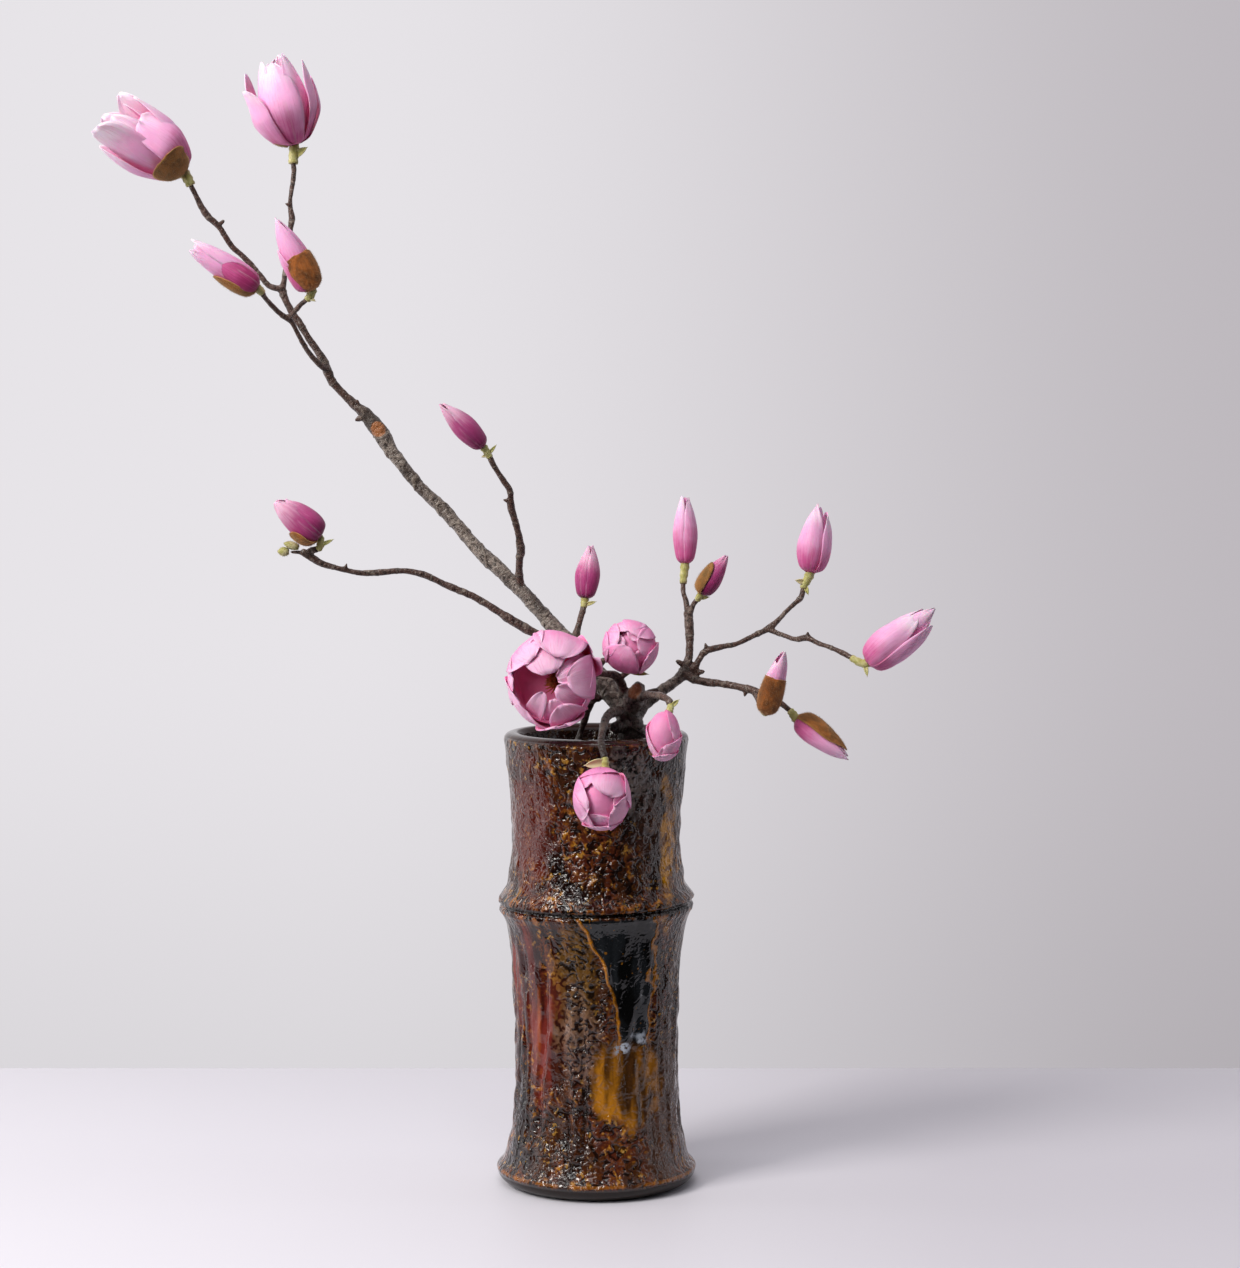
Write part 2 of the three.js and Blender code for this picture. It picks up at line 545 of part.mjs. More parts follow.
function bloomSolid(bloom, grow = 0) {
  return fuse(KINDS[bloom.kind](bloom, grow));
}

function placeWith(bloom, mesh) {
  mesh.position.copy(vector(bloom.foot));
  mesh.quaternion.copy(bloom.turn);
  return mesh;
}

// ---- Bud scales: the fuzzy shell that a bud splits, still clinging to one side ---------------------
// `turn` is the side, 0 the front; `reach` is how far up the bloom the scale runs; `spread` is half its
// breadth, in degrees round the bloom.

const SCALES = {
  a: { turn: 0, reach: 0.4, spread: 36 },
  b: { turn: -70, reach: 0.24, spread: 24 },
  c: { turn: -60, reach: 0.62, spread: 42 },
  d: { turn: 40, reach: 0.52, spread: 60 },
  f: { turn: -50, reach: 0.6, spread: 26 },
  i: { turn: -60, reach: 0.66, spread: 40 },
  l: { turn: -10, reach: 0.64, spread: 74 },
  m: { turn: -50, reach: 0.9, spread: 60 },
};

function scaleSolid(bloom, { turn, reach, spread }) {
  const whole = OUTLINES[bloom.kind];
  const shareAt = (u) => SCALE_FOOT + u * (reach - SCALE_FOOT);
  const outline = {
    getPoint: (u) => whole.getPoint(shareAt(u)),
    getTangent: (u) => whole.getTangent(shareAt(u)),
  };
  const flatness = Math.cos((spread * DEGREE) / (SCALE_COLUMNS - 1));
  const shell = {
    outline, spread, height: bloom.height, lift: 0, raise: -SCALE_DROP, thickness: SCALE_THICKNESS,
    columns: SCALE_COLUMNS, radius: (bloom.half + SCALE_CLEARANCE) / flatness + SCALE_THICKNESS,
  };
  return fuse([tepalSolid(shell, turn).subtract(bloomSolid(bloom, GAP))]);
}

// ---- Stalks: a short green stem under each bloom, most with a small leaf ---------------------------
// Each leaf: its tip as a step from the stalk's middle, and its breadth.

const LEAVES = {
  b: { tip: [11, -3, 7], breadth: 5 },
  e: { tip: [5, -3, 6], breadth: 3 },
  f: { tip: [9, -4, 3], breadth: 4 },
  g: { tip: [8, -2, 3], breadth: 4 },
  i: { tip: [7, -2, -3], breadth: 4 },
  k: { tip: [4, -4, -8], breadth: 4 },
  n: { tip: [-34, 5, 22], breadth: 7 },
  o: { tip: [14, 1, -3], breadth: 5 },
  p: { tip: [-14, -5, 2], breadth: 7 },
  q: { tip: [8, 2, 4], breadth: 4 },
};

function leafSolid(root, { tip, breadth }) {
  const way = vector(tip);
  const length = way.length();
  const outline = new THREE.Shape([
    [0, -0.25], [0.45, -0.5], [0.85, -0.28], [1, 0], [0.85, 0.28], [0.45, 0.5], [0, 0.25],
  ].map(([share, side]) => new THREE.Vector2(share * length, side * breadth)));
  const geometry = new THREE.ExtrudeGeometry(outline, { depth: LEAF_THICKNESS, bevelEnabled: false });
  geometry.translate(0, 0, -LEAF_THICKNESS / 2);
  const x = way.normalize();
  const front = new THREE.Vector3(0, -1, 0);
  const z = front.addScaledVector(x, -front.dot(x)).normalize();
  geometry.applyMatrix4(new THREE.Matrix4().makeBasis(x, z.clone().cross(x), z));
  geometry.translate(root.x, root.y, root.z);
  return solidOf(geometry);
}

function stalkSolid(name, bloom) {
  const limb = { ...MAIN_LIMBS, ...LEFT_LIMBS }[bloom.limb];
  const [before, end] = [vector(limb.at(-2)), vector(limb.at(-1))];
  const lead = end.clone().sub(before).normalize();
  const start = end.clone().addScaledVector(lead, GAP);
  const stop = vector(bloom.foot).addScaledVector(bloom.axis, -GAP);
  const apart = start.distanceTo(stop);
  const curve = new THREE.CubicBezierCurve3(
    start, start.clone().addScaledVector(lead, apart / 3),
    stop.clone().addScaledVector(bloom.axis, -apart / 3), stop);
  const stations = [0, 0.5, 1];
  const path = stations.map((share) => [
    ...curve.getPoint(share).toArray(), bloom.stalk * (1 - STALK_SWELL * (1 - share))]);
  const stem = solidOf(limbGeometry(path, { lead, trail: bloom.axis }));
  const leaf = LEAVES[name];
  return leaf ? fuse([stem, leafSolid(curve.getPoint(0.4), leaf)]) : stem;
}

// ---- Putting it together --------------------------------------------------------------------------

addMesh('vase', vaseGeometry(), FINISHES.glaze());

const mainWood = woodSolid(MAIN_LIMBS, MAIN_SPURS);
const leftWood = woodSolid(LEFT_LIMBS, LEFT_SPURS);
const stemRoom = woodSolid(MAIN_LIMBS, MAIN_SPURS, GAP).add(woodSolid(LEFT_LIMBS, LEFT_SPURS, GAP));

function bore(radius, bottom, top) {
  const height = top - bottom;
  const drum = new THREE.CylinderGeometry(radius, radius, height, VASE_SIDES);
  return solidOf(drum.rotateX(Math.PI / 2).translate(0, 0, bottom + height / 2));
}

const water = bore(WATER_RADIUS, FLOOR_THICKNESS + 5.5, WATER_LEVEL).subtract(stemRoom);
addMesh('water', geometryOf(fuse([water])), FINISHES.water());

function wedgedStick(from, to) {
  const rod = solidOf(limbGeometry([[...from, STICK_RADIUS], [...to, STICK_RADIUS]], { sides: 8 }));
  return fuse([rod.intersect(bore(WATER_RADIUS, 0, VASE_HEIGHT)).subtract(stemRoom)]);
}

const upperStickHeight = LOWER_STICK_HEIGHT + 2 * STICK_RADIUS + GAP;
const lowerStick = wedgedStick(
  [-WALL_INNER_RADIUS, LOWER_STICK_Y, LOWER_STICK_HEIGHT],
  [WALL_INNER_RADIUS, LOWER_STICK_Y, LOWER_STICK_HEIGHT],
);
const upperStick = wedgedStick(
  [UPPER_STICK_X, -WALL_INNER_RADIUS, upperStickHeight],
  [UPPER_STICK_X, WALL_INNER_RADIUS, upperStickHeight],
);
addMesh('lower_stick', geometryOf(lowerStick), FINISHES.stick());
addMesh('upper_stick', geometryOf(upperStick), FINISHES.stick());

addMesh('main_branch', geometryOf(mainWood), FINISHES.bark());
addMesh('left_branch', geometryOf(leftWood), FINISHES.darkBark());

const DEEP = ['c', 'e', 'f', 'g', 'i'];
for (const [name, bloom] of Object.entries(BLOOMS)) {
  const tint = DEEP.includes(name) ? FINISHES.deepTepal() : FINISHES.paleTepal();
  placeWith(bloom, addMesh(`bloom_${name}`, geometryOf(bloomSolid(bloom)), tint));
  addMesh(`stalk_${name}`, geometryOf(stalkSolid(name, bloom)), FINISHES.stalk());
}
for (const [name, scale] of Object.entries(SCALES)) {
  const shell = geometryOf(scaleSolid(BLOOMS[name], scale));
  placeWith(BLOOMS[name], addMesh(`scale_${name}`, shell, FINISHES.scale()));
}

// The carpels and stamens in the heart of the open bloom stand on its receptacle.
const heart = heartSolid([[5, 6], [6, 8], [5, 12], [3, 16], [1, 19]], 0, 8);
placeWith(BLOOMS.n, addMesh('stamens_n', geometryOf(heart), FINISHES.stamen()));

// Two leaf buds at the end of the left branch.
function leafBud(from, way, length, radius) {
  const start = vector(from);
  const heading = vector(way).normalize();
  const stations = [[0, 0.5], [0.3, 0.95], [0.6, 1], [0.85, 0.6], [1, 0.2]];
  return limbGeometry(stations.map(([share, girth]) => [
    ...start.clone().addScaledVector(heading, share * length).toArray(), girth * radius]));
}

addMesh('leaf_bud_upper', leafBud([-207.5, -33.5, 457.5], [-1, -0.1, 0.3], 11, 2.8), FINISHES.leafBud());
addMesh('leaf_bud_lower', leafBud([-214.5, -33, 454.6], [-1, -0.1, 0.02], 8, 3.2), FINISHES.leafBud());

export default group;
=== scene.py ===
# A magnolia branch arranged in a tall ceramic vase.
# Sizes are in millimetres and become metres where a mesh is made. Materials are in metres.

import bpy
import math
import numpy as np
from mathutils import Matrix, Vector, noise


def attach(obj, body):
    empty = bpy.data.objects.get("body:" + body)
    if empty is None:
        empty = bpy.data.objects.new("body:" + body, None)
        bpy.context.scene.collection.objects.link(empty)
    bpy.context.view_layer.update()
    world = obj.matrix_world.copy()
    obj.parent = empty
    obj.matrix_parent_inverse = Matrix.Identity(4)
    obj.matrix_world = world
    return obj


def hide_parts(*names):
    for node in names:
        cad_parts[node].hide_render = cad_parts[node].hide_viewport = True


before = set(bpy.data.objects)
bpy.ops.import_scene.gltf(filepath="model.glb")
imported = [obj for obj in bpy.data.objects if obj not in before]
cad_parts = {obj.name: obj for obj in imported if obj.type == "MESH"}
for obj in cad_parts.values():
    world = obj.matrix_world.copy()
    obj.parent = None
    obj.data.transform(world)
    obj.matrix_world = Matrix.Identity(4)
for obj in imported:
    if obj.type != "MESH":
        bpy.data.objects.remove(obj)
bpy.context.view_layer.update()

# ---- Studio -------------------------------------------------------------------------------------
# A white table top in front of a pale bright backdrop, under a broad soft light from the upper left,
# with a tall strip on each side that the glaze mirrors, and a dim room behind the camera.

MM = 0.001
CAMERA_PLACE = (17, -2120, 548.5)
CAMERA_PITCH = 4.156
LENS = 84.78
SENSOR = 36
TABLE_FRONT, TABLE_BACK, TABLE_SIDE = -240, 369, 3000
DIMMEST = 0.04


def linear(hex_colour):
    """The linear colour, with alpha, of an sRGB hex string."""
    shares = [int(hex_colour[i:i + 2], 16) / 255 for i in (1, 3, 5)]
    curve = [c / 12.92 if c <= 0.04045 else ((c + 0.055) / 1.055) ** 2.4 for c in shares]
    return (*curve, 1.0)


class Field:
    """An output of a node. Each sign of arithmetic on it adds a Math node to its tree."""

    def __init__(self, socket):
        self.socket = socket
        self.tree = socket.id_data

    def beside(self, key):
        """Another output of the same node."""
        return Field(self.socket.node.outputs[key])

    def __add__(self, other):
        return reckon("ADD", self, other)

    def __sub__(self, other):
        return reckon("SUBTRACT", self, other)

    def __rsub__(self, other):
        return reckon("SUBTRACT", other, self)

    def __mul__(self, other):
        return reckon("MULTIPLY", self, other)

    def __truediv__(self, other):
        return reckon("DIVIDE", self, other)

    def __abs__(self):
        return reckon("ABSOLUTE", self)


def add_node(tree, kind, inputs=(), out=0, **settings):
    """Adds a node and gives one of its outputs. An input is a value or an output to link to."""
    node = tree.nodes.new(kind)
    for name, value in settings.items():
        setattr(node, name, value)
    for key, value in dict(inputs).items():
        if isinstance(value, Field):
            tree.links.new(value.socket, node.inputs[key])
        else:
            node.inputs[key].default_value = value
    return Field(node.outputs[out])


def reckon(operation, *values):
    """The result of a Math node, in the tree of the first output among its values."""
    tree = next(value.tree for value in values if isinstance(value, Field))
    return add_node(tree, "ShaderNodeMath", enumerate(values), operation=operation)


def most(first, *others):
    """The greatest of some outputs."""
    for other in others:
        first = reckon("MAXIMUM", first, other)
    return first


def split(vector):
    """The x, y and z of a vector."""
    x = add_node(vector.tree, "ShaderNodeSeparateXYZ", {0: vector})
    return x, x.beside(1), x.beside(2)


def mask(value, low, high, top=1.0):
    """A smooth step of a value between two levels."""
    return add_node(value.tree, "ShaderNodeMapRange", {0: value, 1: low, 2: high, 4: top},
                    interpolation_type="SMOOTHSTEP")


def blend(factor, first, second):
    """The mix of two colours, each a hex string or a node's output."""
    pair = [linear(c) if isinstance(c, str) else c for c in (first, second)]
    return add_node(factor.tree, "ShaderNodeMix", {0: factor, 6: pair[0], 7: pair[1]}, out=2,
                    data_type="RGBA")


def new_material(name, **values):
    """A material's one shader, with its own constant values, and the place on the object in metres."""
    material = bpy.data.materials.new(name)
    material.use_nodes = True
    shader = material.node_tree.nodes["Principled BSDF"]
    for key, value in values.items():
        shader.inputs[key.replace("_", " ")].default_value = value
    return material, shader, add_node(material.node_tree, "ShaderNodeTexCoord", out="Object")


def link_shader(shader, relief=None, strength=1.0, depth=0.001, **links):
    """Links outputs to a shader's inputs. A relief of 1 stands its depth in metres proud."""
    if relief is not None:
        links["Normal"] = add_node(relief.tree, "ShaderNodeBump", {
            "Height": relief, "Strength": strength, "Distance": depth})
        if "Coat_Weight" in links:
            links["Coat_Normal"] = links["Normal"]
    for key, value in links.items():
        value.tree.links.new(value.socket, shader.inputs[key.replace("_", " ")])


def linked(name, data):
    """An object of the data, in the scene."""
    thing = bpy.data.objects.new(name, data)
    bpy.context.scene.collection.objects.link(thing)
    return thing


camera_data = bpy.data.cameras.new("camera")
camera_data.lens = LENS
camera_data.sensor_width = SENSOR
camera_data.clip_start = 0.1
camera_data.clip_end = 30
camera = linked("camera", camera_data)
camera.location = Vector(CAMERA_PLACE) * MM
camera.rotation_euler = (math.radians(90 - CAMERA_PITCH), 0, 0)
bpy.context.scene.camera = camera
bpy.context.scene.view_settings.view_transform = "Standard"

# Each lamp: its place and aim, its width and height, all in metres, its power and its colour.
LAMPS = {
    "key_softbox": ((-1.6, -1.3, 1.8), (-0.1, 0.1, 0.4), (0.8, 0.8), 46, "#FFFAF5"),
    "left_strip": ((-1.3, 0.1, 0.45), (0, 0, 0.25), (0.3, 1.5), 3.5, "#FFFFFF"),
    "right_strip": ((1.35, 0.0, 0.5), (0, 0, 0.3), (0.25, 1.5), 2.2, "#F6F8FF"),
    "overhead": ((-0.3, -1.2, 2.4), (-0.1, 0.2, 0.4), (1.4, 1.0), 19, "#FFFFFF"),
    "left_window": ((-1.3, -1.7, 1.0), (0, 0, 0.2), (0.9, 0.45), 9, "#FFFFFF"),
}
for name, (place, aim, size, power, colour) in LAMPS.items():
    lamp_data = bpy.data.lights.new(name, "AREA")
    lamp_data.shape = "RECTANGLE"
    lamp_data.size, lamp_data.size_y = size
    lamp_data.energy = power
    lamp_data.color = linear(colour)[:3]
    lamp = linked(name, lamp_data)
    lamp.location = place
    lamp.rotation_euler = (Vector(aim) - Vector(place)).to_track_quat("-Z", "Y").to_euler()

# The far backdrop is bright on its left and dims to the right and downwards. The room is bright at
# the sides and overhead, and dark behind the camera, so the glaze stays deep.
world = bpy.data.worlds.new("studio")
world.use_nodes = True
background = world.node_tree.nodes["Background"]
sideways, ahead, above = split(add_node(world.node_tree, "ShaderNodeTexCoord", out="Generated"))
room = most(mask(above * 0.5 + ahead, -0.3, 0.6, 0.55), DIMMEST)
backdrop = mask(ahead, 0.0, 0.3) * (mask(above, -0.26, -0.06, 0.14) + 0.86)
link_shader(background, Color=blend(mask(sideways, -0.11, 0.235), "#E7E4E8", "#BDB8BD"),
            Strength=most(room, backdrop))
bpy.context.scene.world = world

table_paint, shader, place = new_material("matt white table paint", Roughness=0.55)
patches = add_node(place.tree, "ShaderNodeTexNoise", {"Vector": place, "Scale": 3.0, "Detail": 2.0})
# Painted shade: the paint darkens from the middle to the right, standing in for the light falling off away
# from the key on the left.
paint = blend(mask(split(place)[0], 0.0, 0.3), "#DEDCE4", "#D1CED6")
link_shader(shader, Base_Color=blend(patches * 0.2, paint, "#DAD8DF"))
corners = [(-TABLE_SIDE, TABLE_FRONT), (TABLE_SIDE, TABLE_FRONT), (TABLE_SIDE, TABLE_BACK),
           (-TABLE_SIDE, TABLE_BACK)]
mesh = bpy.data.meshes.new("table")
mesh.from_pydata([(x * MM, y * MM, 0) for x, y in corners], [], [(0, 1, 2, 3)])
mesh.materials.append(table_paint)
linked("table", mesh)

# ---- Vase ---------------------------------------------------------------------------------------
# Thrown stoneware in the shape of a length of bamboo: a rounded lip, one node with two beaded ridges
# and a flared base ring. Runny iron glazes crawled over each other in the kiln, so the surface is a
# glossy brown, amber and black skin of fine worm-like ridges, with shallow flutes below.

VASE_SIDES = 288
VASE_STEP = 1.5
NODE_HEIGHT = 202.5
NODE_SLANT = 1.6
NODE_REACH = 16
GIRTH = 60
FLUTE_DEPTH = 4.2
FLUTE_WIDTH = 11.0
LUMP_DEPTH = 1.2
BEAD_DEPTH = 0.7
BEAD_SIZE = 2.6
FLOOR_HEIGHT = 12.0
VASE_OUTSIDE = [
    (58.2, 0), (64.5, 1.6), (69.4, 5.4), (71.6, 11), (70.2, 14), (67.4, 16.8), (65.9, 20), (64.5, 25),
    (63, 33.3), (60.5, 43), (59.2, 56), (58.2, 73), (57.9, 94), (58.3, 116), (59.3, 138), (60.4, 160),
    (61.9, 174), (64.2, 187), (67, 194.5), (69.2, 198), (69.3, 200), (67.6, 201.8), (66.2, 202.5),
    (67.8, 203.2), (69.8, 205.2), (69.4, 207.6), (65.8, 212.8), (63.4, 217), (61.7, 228), (60.2, 240),
    (59.9, 251), (60.4, 263.3), (61.1, 276.4), (62.3, 289.6), (63.7, 302.8), (65.3, 315.5),
    (65.9, 319.6), (65, 322.6), (62.6, 324.4), (59, 325),
]
VASE_INSIDE = [
    (55.6, 324.6), (52.5, 323), (50.4, 319.6), (48.6, 311), (47.4, 300), (47, 290), (47, 17),
    (45.4, 13.2), (43, 12),
]


def smooth_line(points, step):
    """A Catmull-Rom line through the points, with a new point every step."""
    held = np.array(points, float)
    padded = np.vstack([2 * held[0] - held[1], held, 2 * held[-1] - held[-2]])
    line = []
    for i in range(1, len(padded) - 2):
        before, start, end, after = padded[i - 1:i + 3]
        count = max(1, round(np.linalg.norm(end - start) / step))
        for t in np.arange(count) / count:
            line.append(0.5 * (2 * start + (end - before) * t
                               + (2 * before - 5 * start + 4 * end - after) * t ** 2
                               + (3 * start - before - 3 * end + after) * t ** 3))
    line.append(held[-1])
    return np.array(line)


def ring_faces(rows, sides):
    """The faces of a closed skin of rings, with a cap on its first and its last."""
    faces = []
    for row in range(rows - 1):
        for side in range(sides):
            a, b = row * sides + side, row * sides + (side + 1) % sides
            faces.append((a, b, b + sides, a + sides))
    first, last = range(sides - 1, -1, -1), range((rows - 1) * sides, rows * sides)
    return [*faces, tuple(first), tuple(last)]


def ramp(value, low, high):
    """How far a number is from low to high, held between 0 and 1."""
    return min(1.0, max(0.0, (value - low) / (high - low)))


def hand_over(piece, node):
    """Seats a finished piece in the frame, in place of a CAD node."""
    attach(piece, "root")
    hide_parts(node)


def grown_mesh(host, *trees):
    """The plain mesh that geometry trees make of an object, which then has no modifier."""
    for tree in trees:
        host.modifiers.new(tree.name, "NODES").node_group = tree
    graph = bpy.context.evaluated_depsgraph_get()
    mesh = bpy.data.meshes.new_from_object(
        host.evaluated_get(graph), preserve_all_data_layers=True, depsgraph=graph)
    host.modifiers.clear()
    return mesh


def add_piece(name, skin, material, node, cover=None):
    """A finished piece from a skin: points in millimetres, faces, and a UV pair and marks per point.

    A cover is a tree that grows something on the piece, and is applied before it is handed over.
    """
    points, faces, uv, marks = skin
    mesh = bpy.data.meshes.new(name)
    mesh.from_pydata((np.asarray(points) * MM).tolist(), [], faces)
    mesh.materials.append(material)
    mesh.polygons.foreach_set("use_smooth", [True] * len(mesh.polygons))
    if uv is not None:
        corners = np.zeros(len(mesh.loops), int)
        mesh.loops.foreach_get("vertex_index", corners)
        mesh.uv_layers.new(name="surface").data.foreach_set("uv", np.asarray(uv)[corners].ravel())
    for mark, values in marks.items():
        mesh.attributes.new(mark, "FLOAT", "POINT").data.foreach_set("value", np.asarray(values, float))
    piece = linked(name, mesh)
    if cover is not None:
        piece.data = grown_mesh(piece, cover)
    hand_over(piece, node)


def vase_points():
    """Rings of points from the middle of the foot, up the outside, over the lip and down to the floor."""
    outside = smooth_line(VASE_OUTSIDE, VASE_STEP)
    inside = smooth_line(VASE_INSIDE, VASE_STEP * 4)
    rows = [(1.0, 0.0), (30.0, 0.0), *outside, *inside, (24.0, FLOOR_HEIGHT), (1.0, FLOOR_HEIGHT)]
    points = []
    for row, (radius, height) in enumerate(rows):
        on_outside = 2 < row < 2 + len(outside)
        near = max(0.0, 1 - abs(height - NODE_HEIGHT) / NODE_REACH)
        below = ramp(height, 190.5, 150.5) * ramp(height, 24, 44)
        above = ramp(height, 212, 222) * ramp(height, 312, 302)
        for angle in np.arange(VASE_SIDES) / VASE_SIDES * 2 * math.pi:
            x, y = math.cos(angle), math.sin(angle)
            push, climb = 0.0, 0.0
            if on_outside:
                side = Vector((x, y, 0)) * (GIRTH / FLUTE_WIDTH)
                crease = min(1.0, abs(noise.noise(side + Vector((0, 0, height / 90)))) * 3.2)
                lump = noise.noise(Vector((x * 9, y * 9, height / 11)) + Vector((5, 0, 0)))
                bead = noise.noise(Vector((x * GIRTH / BEAD_SIZE, y * GIRTH / BEAD_SIZE, height / 4)))
                push = FLUTE_DEPTH * (crease - 0.75) * 0.5 * below + LUMP_DEPTH * lump * (below + above)
                push += BEAD_DEPTH * bead * max(0.0, near - 0.4) * 2.4
                climb = NODE_SLANT * near * x * radius / GIRTH
            points.append(((radius + push) * x, (radius + push) * y, height + climb))
    return np.array(points), len(rows)


# Stoneware under a thick runny iron glaze: glassy, so the coat is sharp, and rough where it crawled.
glaze, shader, place = new_material(
    "crawled iron glaze on stoneware", IOR=1.5, Roughness=0.4, Specular_IOR_Level=0.0,
    Coat_Roughness=0.035, Coat_IOR=1.5)
x, y, z = split(place)


def grain(vector, scale, detail=3.0, roughness=0.55, distortion=0.0):
    """Noise at a scale in lumps per metre."""
    return add_node(vector.tree, "ShaderNodeTexNoise", {
        "Vector": vector, "Scale": scale, "Detail": detail, "Roughness": roughness,
        "Distortion": distortion})


def stretched(vector, scale):
    """A vector with each of its parts scaled."""
    return add_node(vector.tree, "ShaderNodeMapping", {"Vector": vector, "Scale": scale})


def band(value, middle, edge, core, top=1.0):
    """A smooth band of a value: nothing at the edge's distance from its middle, full at the core's."""
    return mask(abs(value - middle), edge, core, top)


drips = stretched(place, (1, 1, 0.35))
broad = grain(drips, 16, 3, 0.5, 0.6)
middle = grain(drips, 46, 3, 0.55, 0.8)
small = grain(place, 125, 2, 0.55, 0.8)
curds = grain(place, 185, 0, 0.5, 1.4)
swell = grain(drips, 72, 0, 0.5, 0.6)
fine = grain(place, 330, 1.5, 0.55)
warp = grain(place, 60, 2, 0.5) - 0.5
streak = grain(stretched(place, (1, 1, 0.12)), 110, 2, 0.5)
wide_ridges = band(grain(place, 88, 1.5, 0.55, 1.1), 0.5, 0.055, 0.0)
ridges = band(grain(place, 190, 1.5, 0.55, 1.1), 0.5, 0.07, 0.0)
lip = mask(z, 0.3205, 0.3225)
foot = mask(z, 0.0105, 0.0085)
foot_edge = band(z, 0.0122, 0.0016, 0.0004) * mask(middle, 0.42, 0.55)
groove = band(z, NODE_HEIGHT * MM, 0.0024, 0.0008)
node = band(z, NODE_HEIGHT * MM, 0.013, 0.005)
front = mask(y, 0.005, -0.01)


def glaze_patch(centre, size, ragged=0.35, soft=0.18):
    """A pool of glaze on the front, from its middle and half-size in millimetres across and up."""
    across = (x - centre[0] * MM) * (1 / MM / size[0])
    up = (z - centre[1] * MM) * (1 / MM / size[1])
    far = add_node(x.tree, "ShaderNodeCombineXYZ", {0: across, 1: up})
    distance = add_node(x.tree, "ShaderNodeVectorMath", {0: far}, out=1, operation="LENGTH")
    return mask(warp * (ragged * 4) + distance, 1 + soft, 1 - soft) * front


def painted(under, amount, paint, share=1.0):
    """A colour laid over another in the given amount."""
    return blend(amount * share, under, paint)


# Dark iron brown, redder or more ochre in patches, with amber on the crinkles and black in the pits.
colour = blend(mask(broad, 0.42, 0.6), "#1E0D08", "#3E200E")
colour = painted(colour, mask(middle, 0.48, 0.62), "#4E2014", 0.8)
speckle = small * 0.6 + fine * 0.55
crest = mask(curds, 0.54, 0.66) * 0.8 + most(ridges * 0.8, wide_ridges) * 0.5
crest = crest * mask(middle, 0.44, 0.6, 0.85) * mask(fine, 0.36, 0.54, 0.9)
colour = painted(colour, crest, blend(mask(small, 0.45, 0.65), "#6E3A14", "#B87A22"))
colour = painted(colour, mask(curds, 0.46, 0.36), "#090403", 0.85)
colour = painted(colour, mask(speckle, 0.68, 0.74), "#C4923E", 0.5)

# The oxblood runs down the left, smooth and streaked; the centre is olive and lilac between its ridges.
oxblood = glaze_patch((-42, 138), (21, 66), 0.2, 0.3)
red = blend(mask(streak, 0.4, 0.6), "#3A0F0E", "#7C2E26")
colour = painted(colour, oxblood * mask(broad, 0.35, 0.5), red, 0.92)
colour = painted(colour, glaze_patch((-46, 262), (15, 44), 0.4, 0.4), "#5E2014", 0.75)
colour = painted(colour, glaze_patch((-40, 122), (1.3, 22), 0.45, 0.8), "#A4501C", 0.6)
moss = blend(mask(fine * 0.5 + curds, 0.62, 0.86), "#22160A", "#7A5626")
colour = painted(colour, glaze_patch((-14, 150), (17, 46), 0.35, 0.3), moss, 0.6)
lilac = blend(mask(fine * 0.6 + curds, 0.7, 0.92), "#26110D", "#7C5F52")
colour = painted(colour, glaze_patch((-10, 112), (15, 34), 0.45, 0.4), lilac, 0.6)
colour = painted(colour, glaze_patch((48, 60), (17, 44), 0.35, 0.5), "#4E362A", 0.75)
colour = painted(colour, glaze_patch((40, 262), (16, 36), 0.4, 0.5), "#3E2A22", 0.7)

# An amber pool low on the front, under a black one bounded by a curved amber line.
ochre_pool = glaze_patch((20, 82), (22, 32), 0.35, 0.25)
ochre = blend(mask(middle * 0.9 + streak, 0.8, 1.1), "#3E240C", "#B0721A")
colour = painted(colour, ochre_pool, ochre, 0.92)
drop = (z - 0.112) * 12.0
inland = x - (warp * 0.009 + (drop * drop * -0.026 + 0.0165))
far_shore = warp * 0.02 + x
pool_height = mask(z, 0.106, 0.114) * mask(z, 0.2015, 0.199)
black_pool = mask(inland, 0.0, 0.0012) * mask(far_shore, 0.0395, 0.0375) * pool_height * front
shoreline = mask(abs(inland), 0.0017, 0.0004) * pool_height * front
far_line = band(far_shore, 0.0395, 0.0018, 0.0006) * pool_height * front
colour = painted(colour, black_pool, blend(mask(middle, 0.45, 0.6), "#060606", "#1C1F22"))
colour = painted(colour, black_pool * mask(speckle, 0.72, 0.76), "#8A5A18", 0.8)
colour = painted(colour, most(shoreline, far_line * 0.7), "#B8741A")

# Bubbled grey at the rim, an amber run beside it, and two milky spots where the pools meet.
rim_pool = blend(mask(speckle, 0.5, 0.6), "#1A1614", "#6A625E")
colour = painted(colour, glaze_patch((23, 296), (17, 26), 0.45, 0.2), rim_pool, 0.9)
amber_run = blend(mask(small, 0.4, 0.6), "#7A4A10", "#CC8C18")
colour = painted(colour, glaze_patch((50, 246), (4.5, 40), 0.5, 0.35), amber_run)
milk = most(glaze_patch((33, 112), (6, 5), 0.9, 0.3), glaze_patch((19, 107), (6, 3), 0.9, 0.3))
colour = painted(colour, milk * mask(fine, 0.4, 0.55), "#B4BCC8")

# Ember brown beads round the node, black in its groove, painted shade on the inside wall, and bare dark lip
# and foot.
ember = blend(mask(small, 0.42, 0.6), "#2E1008", "#96561A")
colour = painted(colour, node * (1.0 - black_pool) * mask(curds, 0.45, 0.56), ember, 0.7)
colour = painted(colour, groove, "#0A0605", 0.95)
# Painted shade: the inside wall from about 250 mm up is painted near black for the shade inside the neck, and
# its coat is thinner there.
inner = mask(reckon("SQRT", y * y + x * x), 0.0575, 0.0555) * mask(z, 0.24, 0.26)
colour = painted(colour, inner, "#120806", 0.95)
colour = painted(colour, lip, "#2A1712", 0.9)
colour = painted(colour, foot, "#1A0E08")
colour = painted(colour, foot_edge, "#9A5C18", 0.6)

